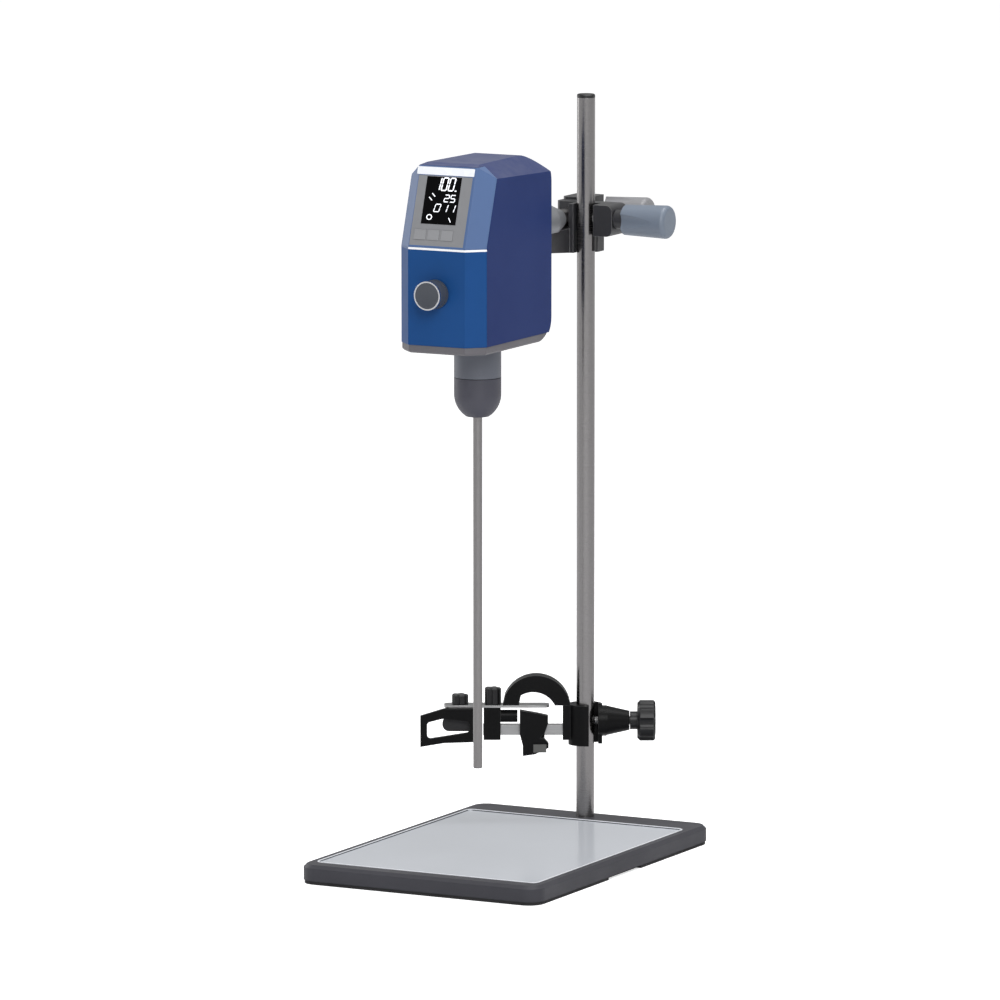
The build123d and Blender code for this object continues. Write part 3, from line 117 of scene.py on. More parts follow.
class StirrerSizes(bpy.types.PropertyGroup):
    """The sizes of the pieces that are added to the frame."""

    digit_height: length("Large digit height", "Height of the large figures", 0.0110)
    digit_width: length("Large digit width", "Width of one large figure", 0.0048)
    digit_stroke: length("Large digit stroke", "Width of a segment of the large figures", 0.0011)
    small_height: length("Small digit height", "Height of the small figures", 0.0060)
    small_width: length("Small digit width", "Width of one small figure", 0.0042)
    small_stroke: length("Small digit stroke", "Width of a segment of the small figures", 0.0008)
    print_height: length("Print height", "How far printed marks stand on their ground", 0.00012)
    label_thickness: length("Label thickness", "Thickness of the bare label", 0.0003)
    thread_pitch: length("Thread pitch", "Pitch of the clamping screw", 0.00125)
    thread_depth: length("Thread depth", "Depth of the thread", 0.0006)
    # The lip is a painted highlight: a bright bead standing for the highlight along the work plate's edge.
    highlight_lip_width: length("Lip width", "Width of the bright lip round the work plate", 0.0012)
    highlight_lip_height: length("Lip height", "How far the bright lip stands on the rim", 0.0006)
    highlight_lip_gap: length("Lip gap", "Distance from the work plate to the lip", 0.0002)
    panel_corner: length("Plate corner", "Corner radius of the work plate", 0.005)
    edge_radius: length("Edge radius", "Radius that the edges of the covers show", 0.0006)


class StageSettings(bpy.types.PropertyGroup):
    """The studio."""

    key_power: FloatProperty(name="Key light", description="Power of the large front light", default=46.0,
                             unit="POWER")
    fill_power: FloatProperty(name="Fill light", description="Power of the light from the left", default=15.0,
                              unit="POWER")
    top_power: FloatProperty(name="Top light", description="Power of the light from above", default=38.0,
                             unit="POWER")
    room_light: FloatProperty(name="Room light", description="Strength of the even light all round",
                              default=0.42, min=0.0)
    sweep_light: FloatProperty(name="Sweep light", description="Light of the far floor in reflections",
                               default=0.5, min=0.0)
    floor_size: length("Floor size", "Side of the floor", 60.0)
    focal_length: FloatProperty(name="Focal length", description="Lens of the camera", default=324.0,
                                unit="CAMERA")
    azimuth: FloatProperty(name="Azimuth", description="Camera angle round the stand", subtype="ANGLE",
                           default=math.radians(27.45))
    elevation: FloatProperty(name="Elevation", description="Camera angle above the bench", subtype="ANGLE",
                             default=math.radians(8.34))
    distance: length("Distance", "Camera distance from the stand", 7.804)
    thread_steps: IntProperty(name="Thread steps", description="Points round one turn of the thread",
                              default=36, min=12)


def colours():
    """The colour settings in use."""
    return bpy.context.scene.stirrer_colours


def sizes():
    """The size settings in use."""
    return bpy.context.scene.stirrer_sizes


def studio():
    """The stage settings in use."""
    return bpy.context.scene.stirrer_stage


# Shared shader effects

BUMP_DEPTH = 0.0002
BARE_EDGE = (0.55, 0.55, 0.56, 1.0)
# Grey of dust, also mixed in as the painted sheen of light on the housing's top faces.
DUST_AND_SHEEN_GREY = (0.42, 0.41, 0.40, 1.0)


def add(tree, kind, values=None, **settings):
    """Adds a node, sets its properties and the values of its inputs."""
    node = tree.nodes.new(kind)
    for key, value in settings.items():
        setattr(node, key, value)
    for key, value in (values or {}).items():
        node.inputs[key].default_value = value
    return node


def new_group(name, inputs, outputs):
    """A shader node group with named sockets. Returns the group, its input node and its output node."""
    group = bpy.data.node_groups.new(name, "ShaderNodeTree")
    for label, kind, value in inputs:
        socket = group.interface.new_socket(name=label, in_out="INPUT", socket_type="NodeSocket" + kind)
        if value is not None:
            socket.default_value = value
    for label, kind in outputs:
        group.interface.new_socket(name=label, in_out="OUTPUT", socket_type="NodeSocket" + kind)
    return group, group.nodes.new("NodeGroupInput"), group.nodes.new("NodeGroupOutput")


def place_pattern(group, entry):
    """Object coordinates stretched by the group's Stretch input."""
    place = add(group, "ShaderNodeTexCoord")
    scaled = add(group, "ShaderNodeVectorMath", operation="MULTIPLY")
    group.links.new(place.outputs["Object"], scaled.inputs[0])
    group.links.new(entry.outputs["Stretch"], scaled.inputs[1])
    return scaled.outputs["Vector"]


def varied(group, entry, mask, exit_node):
    """Colour between two shades and roughness between two values, by a mask."""
    darker = add(group, "ShaderNodeMix", {"Factor": 1.0}, data_type="RGBA", blend_type="MULTIPLY")
    group.links.new(entry.outputs["Colour"], darker.inputs["A"])
    group.links.new(entry.outputs["Shade"], darker.inputs["B"])
    blend = add(group, "ShaderNodeMix", data_type="RGBA")
    group.links.new(mask, blend.inputs["Factor"])
    group.links.new(entry.outputs["Colour"], blend.inputs["A"])
    group.links.new(darker.outputs["Result"], blend.inputs["B"])
    group.links.new(blend.outputs["Result"], exit_node.inputs["Colour"])
    rough = add(group, "ShaderNodeMapRange")
    group.links.new(mask, rough.inputs["Value"])
    group.links.new(entry.outputs["Roughness Low"], rough.inputs["To Min"])
    group.links.new(entry.outputs["Roughness High"], rough.inputs["To Max"])
    group.links.new(rough.outputs["Result"], exit_node.inputs["Roughness"])


def skin_sockets():
    """Inputs and outputs that the surface effects have in common."""
    inputs = [
        ("Colour", "Color", (0.5, 0.5, 0.5, 1.0)),
        ("Shade", "Color", (0.8, 0.8, 0.8, 1.0)),
        ("Stretch", "Vector", (1.0, 1.0, 1.0)),
        ("Scale", "Float", 100.0),
        ("Roughness Low", "Float", 0.3),
        ("Roughness High", "Float", 0.4),
    ]
    return inputs, [("Colour", "Color"), ("Roughness", "Float"), ("Height", "Float")]


def build_moulded_grain():
    """Fine spark-eroded grain of a moulded or painted skin: fine noise over slow cloudy noise."""
    group, entry, exit_node = new_group("Moulded grain", *skin_sockets())
    where = place_pattern(group, entry)
    cloud = add(group, "ShaderNodeTexNoise", {"Scale": 14.0, "Detail": 3.0, "Roughness": 0.55})
    group.links.new(where, cloud.inputs["Vector"])
    spread = add(group, "ShaderNodeMapRange", {"From Min": 0.35, "From Max": 0.65})
    group.links.new(cloud.outputs["Fac"], spread.inputs["Value"])
    varied(group, entry, spread.outputs["Result"], exit_node)
    fine = add(group, "ShaderNodeTexNoise", {"Detail": 2.0, "Roughness": 0.6})
    group.links.new(where, fine.inputs["Vector"])
    group.links.new(entry.outputs["Scale"], fine.inputs["Scale"])
    group.links.new(fine.outputs["Fac"], exit_node.inputs["Height"])
    return group


def build_ground_metal():
    """Fine grinding marks: noise drawn out along the surface by the stretch."""
    group, entry, exit_node = new_group("Ground metal", *skin_sockets())
    where = place_pattern(group, entry)
    marks = add(group, "ShaderNodeTexNoise", {"Detail": 5.0, "Roughness": 0.7})
    group.links.new(where, marks.inputs["Vector"])
    group.links.new(entry.outputs["Scale"], marks.inputs["Scale"])
    spread = add(group, "ShaderNodeMapRange", {"From Min": 0.3, "From Max": 0.7})
    group.links.new(marks.outputs["Fac"], spread.inputs["Value"])
    varied(group, entry, spread.outputs["Result"], exit_node)
    group.links.new(marks.outputs["Fac"], exit_node.inputs["Height"])
    return group


def build_cast_skin():
    """Orange-peel of a powder coat on a casting: rounded cells blended with noise."""
    group, entry, exit_node = new_group("Cast skin", *skin_sockets())
    where = place_pattern(group, entry)
    cells = add(group, "ShaderNodeTexVoronoi", {"Randomness": 1.0}, feature="SMOOTH_F1")
    group.links.new(where, cells.inputs["Vector"])
    group.links.new(entry.outputs["Scale"], cells.inputs["Scale"])
    noise = add(group, "ShaderNodeTexNoise", {"Scale": 45.0, "Detail": 4.0})
    group.links.new(where, noise.inputs["Vector"])
    spread = add(group, "ShaderNodeMapRange", {"From Min": 0.35, "From Max": 0.7})
    group.links.new(noise.outputs["Fac"], spread.inputs["Value"])
    varied(group, entry, spread.outputs["Result"], exit_node)
    group.links.new(cells.outputs["Distance"], exit_node.inputs["Height"])
    return group


def build_soft_edges():
    """Edges as if rounded by a small radius, and a mask that is 1 on them."""
    inputs = [("Radius", "Float", 0.0005), ("Normal", "Vector", None)]
    group, entry, exit_node = new_group("Soft edges", inputs, [("Normal", "Vector"), ("Edge", "Float")])
    round_off = add(group, "ShaderNodeBevel", samples=6)
    group.links.new(entry.outputs["Radius"], round_off.inputs["Radius"])
    group.links.new(entry.outputs["Normal"], round_off.inputs["Normal"])
    group.links.new(round_off.outputs["Normal"], exit_node.inputs["Normal"])
    face = add(group, "ShaderNodeNewGeometry")
    turn = add(group, "ShaderNodeVectorMath", operation="DOT_PRODUCT")
    plain = add(group, "ShaderNodeBevel", samples=6)
    group.links.new(entry.outputs["Radius"], plain.inputs["Radius"])
    group.links.new(plain.outputs["Normal"], turn.inputs[0])
    group.links.new(face.outputs["Normal"], turn.inputs[1])
    mask = add(group, "ShaderNodeMapRange", {"From Min": 0.995, "From Max": 0.9})
    group.links.new(turn.outputs["Value"], mask.inputs["Value"])
    group.links.new(mask.outputs["Result"], exit_node.inputs["Edge"])
    return group


def build_dust_and_sheen():
    """A thin film of dust that also serves as painted sheen: more on faces that look up, broken by noise.
    Small amounts are dust; large amounts paint the sheen of light on top faces.
    """
    inputs = [("Amount", "Float", 0.1)]
    group, entry, exit_node = new_group("Dust and painted sheen", inputs, [("Mask", "Float")])
    face = add(group, "ShaderNodeNewGeometry")
    parts = add(group, "ShaderNodeSeparateXYZ")
    group.links.new(face.outputs["Normal"], parts.inputs["Vector"])
    up = add(group, "ShaderNodeMapRange", {"From Min": 0.4, "From Max": 1.0})
    group.links.new(parts.outputs["Z"], up.inputs["Value"])
    place = add(group, "ShaderNodeTexCoord")
    noise = add(group, "ShaderNodeTexNoise", {"Scale": 60.0, "Detail": 6.0, "Roughness": 0.7})
    group.links.new(place.outputs["Object"], noise.inputs["Vector"])
    broken = add(group, "ShaderNodeMath", operation="MULTIPLY")
    group.links.new(up.outputs["Result"], broken.inputs[0])
    group.links.new(noise.outputs["Fac"], broken.inputs[1])
    amount = add(group, "ShaderNodeMath", operation="MULTIPLY")
    group.links.new(broken.outputs["Value"], amount.inputs[0])
    group.links.new(entry.outputs["Amount"], amount.inputs[1])
    group.links.new(amount.outputs["Value"], exit_node.inputs["Mask"])
    return group


EFFECTS = {
    "Moulded grain": build_moulded_grain,
    "Ground metal": build_ground_metal,
    "Cast skin": build_cast_skin,
    "Soft edges": build_soft_edges,
    "Dust and painted sheen": build_dust_and_sheen,
}


def effect(tree, name, values):
    """Places a shared effect in a material with its own values."""
    group = bpy.data.node_groups.get(name) or EFFECTS[name]()
    node = tree.nodes.new("ShaderNodeGroup")
    node.node_tree = group
    for key, value in values.items():
        node.inputs[key].default_value = value
    return node


def surface(name, skin, base, *, roughness, scale, bump, shade=0.85, metallic=0.0, stretch=(1, 1, 1),
            edge=0.0, wear=0.0, dust_and_sheen=0.0, specular=0.5, band=None):
    """A material: one skin effect on a Principled shader, with rounded edges, edge wear, dust with painted
    sheen on top faces or a band of another colour left of a place on X if asked for."""
    material = bpy.data.materials.new(name)
    material.use_nodes = True
    tree = material.node_tree
    shader = tree.nodes["Principled BSDF"]
    shader.inputs["Metallic"].default_value = metallic
    shader.inputs["Specular IOR Level"].default_value = specular
    layer = effect(tree, skin, {
        "Colour": (*base, 1.0),
        "Shade": (shade, shade, shade, 1.0),
        "Stretch": stretch,
        "Scale": scale,
        "Roughness Low": roughness[0],
        "Roughness High": roughness[1],
    })
    bumps = add(tree, "ShaderNodeBump", {"Strength": bump, "Distance": BUMP_DEPTH})
    tree.links.new(layer.outputs["Height"], bumps.inputs["Height"])
    normal = bumps.outputs["Normal"]
    paint = layer.outputs["Colour"]
    if band:
        limit, other = band
        place = add(tree, "ShaderNodeTexCoord")
        parts = add(tree, "ShaderNodeSeparateXYZ")
        tree.links.new(place.outputs["Object"], parts.inputs["Vector"])
        left_of = add(tree, "ShaderNodeMath", {1: limit}, operation="LESS_THAN")
        tree.links.new(parts.outputs["X"], left_of.inputs[0])
        banded = add(tree, "ShaderNodeMix", data_type="RGBA")
        banded.inputs["B"].default_value = (*other, 1.0)
        tree.links.new(left_of.outputs["Value"], banded.inputs["Factor"])
        tree.links.new(paint, banded.inputs["A"])
        paint = banded.outputs["Result"]
    if edge:
        soft = effect(tree, "Soft edges", {"Radius": edge})
        tree.links.new(normal, soft.inputs["Normal"])
        normal = soft.outputs["Normal"]
        if wear:
            rub = add(tree, "ShaderNodeMath", {1: wear}, operation="MULTIPLY")
            tree.links.new(soft.outputs["Edge"], rub.inputs[0])
            bare = add(tree, "ShaderNodeMix", data_type="RGBA")
            bare.inputs["B"].default_value = BARE_EDGE
            tree.links.new(rub.outputs["Value"], bare.inputs["Factor"])
            tree.links.new(paint, bare.inputs["A"])
            paint = bare.outputs["Result"]
    if dust_and_sheen:
        dust_and_sheen_film = effect(tree, "Dust and painted sheen", {"Amount": dust_and_sheen})
        dust_and_sheen_mix = add(tree, "ShaderNodeMix", data_type="RGBA")
        dust_and_sheen_mix.inputs["B"].default_value = DUST_AND_SHEEN_GREY
        tree.links.new(dust_and_sheen_film.outputs["Mask"], dust_and_sheen_mix.inputs["Factor"])
        tree.links.new(paint, dust_and_sheen_mix.inputs["A"])
        paint = dust_and_sheen_mix.outputs["Result"]
    tree.links.new(paint, shader.inputs["Base Color"])
    tree.links.new(layer.outputs["Roughness"], shader.inputs["Roughness"])
    tree.links.new(normal, shader.inputs["Normal"])
    return material


def glowing(name, base, strength):
    """Lit figures of a display: a plain colour with its own light, a little uneven over the surface."""
    material = bpy.data.materials.new(name)
    material.use_nodes = True
    tree = material.node_tree
    shader = tree.nodes["Principled BSDF"]
    shader.inputs["Emission Strength"].default_value = strength
    layer = effect(tree, "Moulded grain", {
        "Colour": (*base, 1.0), "Shade": (0.9, 0.9, 0.92, 1.0), "Scale": 900.0,
        "Roughness Low": 0.4, "Roughness High": 0.5,
    })
    tree.links.new(layer.outputs["Colour"], shader.inputs["Base Color"])
    tree.links.new(layer.outputs["Colour"], shader.inputs["Emission Color"])
    tree.links.new(layer.outputs["Roughness"], shader.inputs["Roughness"])
    return material


def dress(material, *nodes):
    """Gives a material to nodes of the frame."""
    for name in nodes:
        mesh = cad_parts[name].data
        mesh.materials.clear()
        mesh.materials.append(material)


# Surfaces


def put_mesh(name, vertices, faces, material, body, smooth=False):
    """Makes an object from arrays, turns its faces outwards and lets it ride on a body."""
    mesh = bpy.data.meshes.new(name)
    mesh.from_pydata(np.asarray(vertices, float).tolist(), [], faces)
    work = bmesh.new()
    work.from_mesh(mesh)
    bmesh.ops.remove_doubles(work, verts=work.verts, dist=1e-7)
    bmesh.ops.recalc_face_normals(work, faces=work.faces)
    work.to_mesh(mesh)
    work.free()
    mesh.polygons.foreach_set("use_smooth", np.full(len(mesh.polygons), smooth))
    mesh.materials.append(material)
    piece = bpy.data.objects.new(name, mesh)
    bpy.context.scene.collection.objects.link(piece)
    if body:
        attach(piece, body)
    return piece


def sheath_faces(rows, columns, first=0, caps=True):
    """Quads between successive rings of a grid. Caps close the first and the last ring by one face each."""
    i, j = np.meshgrid(np.arange(rows - 1), np.arange(columns), indexing="ij")
    k = (j + 1) % columns
    quads = np.stack([i * columns + j, i * columns + k, (i + 1) * columns + k, (i + 1) * columns + j],
                     axis=-1)
    faces = (quads.reshape(-1, 4) + first).tolist()
    if caps:
        faces.append((np.arange(columns) + first).tolist())
        faces.append((np.arange(columns) + first + (rows - 1) * columns).tolist())
    return faces


def stack_rings(groups):
    """Joins several stacks of rings into one list of points and faces. A stack is rings by points by 3."""
    points, faces, first = [], [], 0
    for rings in groups:
        rows, columns = rings.shape[:2]
        points.append(rings.reshape(-1, 3))
        faces += sheath_faces(rows, columns, first)
        first += rows * columns
    return np.concatenate(points), faces


def circles(centre, axes, along, radius, angle):
    """Points round an axis: the centre, plus a way along the axis, plus the radius times the cosine of the
    angle on the second axis and times its sine on the third."""
    axis, side, up = axes
    return (centre + along[..., None] * axis + (radius * np.cos(angle))[..., None] * side
            + (radius * np.sin(angle))[..., None] * up)


# Places on the head. The leaning face starts at the middle of the accent strip and goes back 19.7 mm over a
# height of 61.5 mm. The front is 55 mm wide between its chamfers.
STRIP_LOW, STRIP_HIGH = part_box("accent_strip")
HEAD_X = (STRIP_LOW.x + STRIP_HIGH.x) / 2
HEAD_FRONT = STRIP_LOW.y
ACCENT_Z = (STRIP_LOW.z + STRIP_HIGH.z) / 2
LEAN = math.atan2(19.7, 61.5)
FRONT_HALF = 0.0275

# Printed marks stand this far off their ground, so that no two faces share a plane.
PRINT_GAP = 0.0001


def on_lean(across, up, out):
    """Points on the leaning face: across runs right, up runs along the slope, out stands off it."""
    across, up, out = np.broadcast_arrays(across, up, out)
    return np.stack([
        HEAD_X + across,
        HEAD_FRONT + up * math.sin(LEAN) - out * math.cos(LEAN),
        ACCENT_Z + up * math.cos(LEAN) + out * math.sin(LEAN),
    ], axis=-1)


def tile(outline, low, high):
    """A flat tile on the leaning face: the outline at two heights."""
    outline = np.asarray(outline, float)
    return np.stack([on_lean(outline[:, 0], outline[:, 1], level) for level in (low, high)])


def rounded_outline(left, right, bottom, top, radius, steps=6):
    """A rectangle whose corners are quarter circles."""
    turn = np.linspace(0, math.pi / 2, steps)
    corners = [(right - radius, top - radius, 0), (left + radius, top - radius, 1),
               (left + radius, bottom + radius, 2), (right - radius, bottom + radius, 3)]
    arcs = []
    for x, y, quarter in corners:
        angle = turn + quarter * math.pi / 2
        arcs.append(np.stack([x + radius * np.cos(angle), y + radius * np.sin(angle)], axis=-1))
    return np.concatenate(arcs)


# The lit segments of each figure: a on top, then clockwise to f, and g across the middle.
SEGMENTS = {
    "0": "abcdef", "1": "bc", "2": "abged", "3": "abgcd", "4": "fgbc", "5": "afgcd", "6": "afgedc",
    "7": "abc", "8": "abcdefg", "9": "abcdfg",
}


def segment_bar(start, end, stroke):
    """A six-sided bar from start to end: parallel sides and pointed ends, each end short by a small gap."""
    start, end = np.array(start, float), np.array(end, float)
    along = (end - start) / np.linalg.norm(end - start)
    side = np.array([-along[1], along[0]]) * stroke / 2
    tip = along * stroke / 2
    gap = along * stroke * 0.08
    a, b = start + gap, end - gap
    return np.array([a, a + tip - side, b - tip - side, b, b - tip + side, a + tip + side])


def figure_bars(text, left, bottom, width, height, stroke, slant, space=1.4):
    """Seven-segment figures as a list of six-sided bars. They lean right by the slant and follow each other
    at the width times the space."""
    bars = []
    for i, sign in enumerate(text):
        x = left + i * width * space
        low, mid, top = bottom, bottom + height / 2, bottom + height
        ends = {
            "a": ((x, top), (x + width, top)), "b": ((x + width, top), (x + width, mid)),
            "c": ((x + width, mid), (x + width, low)), "d": ((x + width, low), (x, low)),
            "e": ((x, low), (x, mid)), "f": ((x, mid), (x, top)), "g": ((x, mid), (x + width, mid)),
        }
        for key in SEGMENTS[sign]:
            bar = segment_bar(*ends[key], stroke)
            bar[:, 0] += (bar[:, 1] - bottom) * slant
            bars.append(bar)
    return bars


# Pieces

# Grinding marks run across a rod: the pattern is pressed together along the rod.
GROUND_UPRIGHT = (1.0, 1.0, 250.0)
GROUND_LEVEL = (1.0, 250.0, 1.0)


class STIRRER_OT_stand(bpy.types.Operator):
    """Finishes of the base, the work plate and the column"""

    bl_idname = "stirrer.stand"
    bl_label = "Stand finishes"

    def execute(self, context):
        c = colours()
        dress(surface("base grey", "Moulded grain", c.frame_grey, roughness=(0.42, 0.52), scale=1400.0,
                      bump=0.18, shade=0.9, edge=0.0008, dust_and_sheen=0.06, specular=0.25),
              "base_frame")
        dress(surface("work plate enamel", "Moulded grain", c.panel, roughness=(0.12, 0.17), scale=900.0,
                      bump=0.01, shade=0.97, edge=0.0004, dust_and_sheen=0.03),
              "base_panel")
        dress(surface("rubber", "Cast skin", c.rubber, roughness=(0.75, 0.85), scale=900.0, bump=0.2,
                      shade=0.8),
              "foot_ring")
        dress(surface("ground steel", "Ground metal", c.steel, roughness=(0.22, 0.30), scale=20.0, bump=0.01,
                      shade=0.96, metallic=1.0, stretch=GROUND_UPRIGHT, edge=0.0003),
              "column")
        dress(surface("plated ballast", "Ground metal", c.zinc, roughness=(0.4, 0.55), scale=30.0, bump=0.1,
                      metallic=1.0, edge=0.0003),
              "ballast_plate", "ballast_screws", "column_nut")
        dress(surface("black plug", "Moulded grain", c.black_plastic, roughness=(0.4, 0.5), scale=1500.0,
                      bump=0.15, edge=0.0003),
              "column_cap")
        return {"FINISHED"}


class STIRRER_OT_highlight_lip(bpy.types.Operator):
    """A painted highlight: a bright narrow lip on the rim, round the work plate, standing for the highlight
    along its edge
    """

    bl_idname = "stirrer.plate_edge"
    bl_label = "Work plate painted highlight"

    def execute(self, context):
        low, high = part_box("base_panel")
        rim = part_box("base_frame")[1].z
        s = sizes()
        inner, outer, chamfer = s.highlight_lip_gap, s.highlight_lip_gap + s.highlight_lip_width, s.highlight_lip_width / 4
        # The painted highlight lip's section as it goes round: how far out from the plate, and how high over
        # the rim
        section = ((inner, -s.highlight_lip_height), (inner, s.highlight_lip_height / 2), (inner + chamfer, s.highlight_lip_height),
                   (outer - chamfer, s.highlight_lip_height), (outer, s.highlight_lip_height / 2), (outer, -s.highlight_lip_height),
                   (inner, -s.highlight_lip_height))
        rings = []
        for grow, rise in section:
            ring = rounded_outline(low.x - grow, high.x + grow, low.y - grow, high.y + grow,
                                   s.panel_corner + grow, steps=10)
            rings.append(np.column_stack([ring, np.full(len(ring), rim + rise)]))
        rings = np.stack(rings)
        faces = sheath_faces(*rings.shape[:2], caps=False)
        # The near-white lip paints the highlight along the plate's edge.
        highlight_paint = surface("painted highlight edge", "Moulded grain", colours().highlight_lip, roughness=(0.2, 0.3), scale=900.0,
                         bump=0.03, shade=0.96)
        put_mesh("painted_highlight_lip", rings.reshape(-1, 3), faces, highlight_paint, "stand")
        return {"FINISHED"}


class STIRRER_OT_head(bpy.types.Operator):
    """Finishes of the head's covers"""

    bl_idname = "stirrer.head"
    bl_label = "Head finishes"

    def execute(self, context):
        c, edge = colours(), sizes().edge_radius
        # Painted sheen: the strong dust amount on the housing lightens its top faces to stand for the sheen
        # of light there.
        dress(surface("housing blue", "Moulded grain", c.shell, roughness=(0.30, 0.38), scale=1100.0,
                      bump=0.06, shade=0.94, edge=edge, dust_and_sheen=0.3, specular=0.04),
              "main_housing")
        # Painted light: the front cover and the display bezel take lighter copies of the housing blue for the
        # light falling on them.
        dress(surface("housing blue lit on front", "Moulded grain", c.front_lit_blue, roughness=(0.30, 0.38), scale=1100.0, bump=0.06,
                      shade=0.94, edge=edge, specular=0.12),
              "front_cover")
        dress(surface("housing blue lit on bezel", "Moulded grain", c.bezel_lit_blue, roughness=(0.30, 0.38), scale=1100.0, bump=0.06,
                      shade=0.94, edge=edge, specular=0.3),
              "display_bezel")
        # The strip is white on the front and the right chamfer, and blue on the left one, in the front
        # cover's lit copy of the housing blue, which is painted light
        dress(surface("accent white", "Moulded grain", c.accent, roughness=(0.25, 0.35), scale=1100.0,
                      bump=0.03, shade=0.98, band=(HEAD_X - FRONT_HALF, c.front_lit_blue)),
              "accent_strip")
        dress(surface("overlay grey", "Moulded grain", c.overlay, roughness=(0.42, 0.5), scale=2200.0,
                      bump=0.08, shade=0.95),
              "fascia")
        dress(surface("key grey", "Moulded grain", c.keys, roughness=(0.42, 0.5), scale=2200.0, bump=0.1,
                      shade=0.95, edge=0.0003),
              "key_left", "key_middle", "key_right")
        dress(surface("window black", "Moulded grain", c.lens, roughness=(0.12, 0.16), scale=200.0, bump=0.0,
                      shade=0.9, specular=0.12),
              "display_lens")
        dress(surface("tray grey", "Moulded grain", c.tray, roughness=(0.45, 0.55), scale=1300.0, bump=0.15,
                      shade=0.92, edge=edge),
              "bottom_cover")
        dress(surface("knob grey", "Moulded grain", c.setting_knob, roughness=(0.3, 0.4), scale=1500.0,
                      bump=0.08, shade=0.9, edge=0.0003),
              "control_knob")
        dress(surface("bright ring", "Ground metal", c.bright_ring, roughness=(0.12, 0.2), scale=200.0,
                      bump=0.02, shade=0.95, metallic=1.0, edge=0.0002),
              "knob_ring")
        dress(surface("module black", "Moulded grain", c.black_plastic, roughness=(0.4, 0.5), scale=1500.0,
                      bump=0.15, edge=0.0003),
              "power_module", "power_rocker", "display_module")
        dress(surface("board green", "Moulded grain", c.board, roughness=(0.35, 0.5), scale=500.0, bump=0.05),
              "control_board")
        dress(surface("inner metal", "Ground metal", c.zinc, roughness=(0.35, 0.5), scale=90.0, bump=0.08,
                      metallic=1.0, edge=0.0003),
              "encoder", "encoder_shaft", "motor_plate", "motor_stator", "motor_rotor", "spindle_bearings",
              "spindle", "arm_nut", "housing_screws")
        return {"FINISHED"}


class STIRRER_OT_display(bpy.types.Operator):
    """Lit figures and marks in the display window"""

    bl_idname = "stirrer.display"
    bl_label = "Display figures"

    def execute(self, context):
        s = sizes()
        # Figures, left end, foot line, width, height, stroke, slant
        rows = (
            ("100", -0.0105, 0.0518, s.digit_width, s.digit_height, s.digit_stroke, 0.14),
            ("25", 0.0004, 0.0420, s.small_width, s.small_height, s.small_stroke, 0.14),
            ("011", -0.0082, 0.0330, s.small_width * 1.2, s.small_height * 1.1, s.small_stroke, 0.25),
        )
        # The two ends of each slanting dash
        dashes = (
            ((-0.0118, 0.0490), (-0.0084, 0.0459)),
            ((-0.0143, 0.0456), (-0.0108, 0.0425)),
            ((0.0072, 0.0284), (0.0098, 0.0242)),
        )
        point = rounded_outline(0.0094, 0.0112, 0.0512, 0.0523, 0.0004, steps=4)
        marks = [bar for row in rows for bar in figure_bars(*row)]
        marks += [segment_bar(*ends, s.small_stroke) for ends in dashes]
        marks.append(point)
        low, high = PRINT_GAP, PRINT_GAP + s.print_height
        points, faces = stack_rings([tile(outline, low, high) for outline in marks])
        lit = glowing("lit figures", colours().digits, strength=0.55)
        put_mesh("display_figures", points, faces, lit, "head")

        # The small ring: a flat band between two radii, a little lower than it is wide
        across, up, outer, inner, squash = -0.0114, 0.0280, 0.0028, 0.0019, 0.9
        turn = np.linspace(0, 2 * math.pi, 40, endpoint=False)
        section = ((outer, low), (outer, high), (inner, high), (inner, low), (outer, low))
        rings = np.stack([
            on_lean(across + radius * np.cos(turn), up + radius * squash * np.sin(turn), level)
            for radius, level in section
        ])
        faces = sheath_faces(*rings.shape[:2], caps=False)
        put_mesh("display_ring", rings.reshape(-1, 3), faces, lit, "head")
        return {"FINISHED"}


class STIRRER_OT_label(bpy.types.Operator):
    """The bare white field above the display"""

    bl_idname = "stirrer.label"
    bl_label = "Bare label"

    def execute(self, context):
        outline = rounded_outline(left=-0.0290, right=0.0262, bottom=0.0650, top=0.0718, radius=0.0009)
        sink = 0.0001
        points, faces = stack_rings([tile(outline, -sink, sizes().label_thickness)])
        white = surface("label white", "Moulded grain", colours().label, roughness=(0.25, 0.32), scale=1400.0,
                        bump=0.03, shade=0.99)
        put_mesh("bare_label", points, faces, white, "head")
        return {"FINISHED"}


class STIRRER_OT_chuck(bpy.types.Operator):
    """Finishes of the chuck, its jaws and the stirring rod"""

    bl_idname = "stirrer.chuck"
    bl_label = "Chuck finishes"

    def execute(self, context):
        c = colours()
        dress(surface("collar grey", "Moulded grain", c.collar, roughness=(0.38, 0.48), scale=1200.0,
                      bump=0.1, shade=0.92, edge=0.0004),
              "chuck_body")
        dress(surface("sleeve dark grey", "Moulded grain", c.dome, roughness=(0.40, 0.50), scale=1200.0,
                      bump=0.12, shade=0.92, edge=0.0004),
              "chuck_sleeve")
        dress(surface("rod steel", "Ground metal", c.steel, roughness=(0.26, 0.34), scale=20.0, bump=0.01,
                      shade=0.96, metallic=1.0, stretch=GROUND_UPRIGHT, edge=0.0002),
              "stirring_rod", "chuck_jaw_a", "chuck_jaw_b", "chuck_jaw_c")
        return {"FINISHED"}


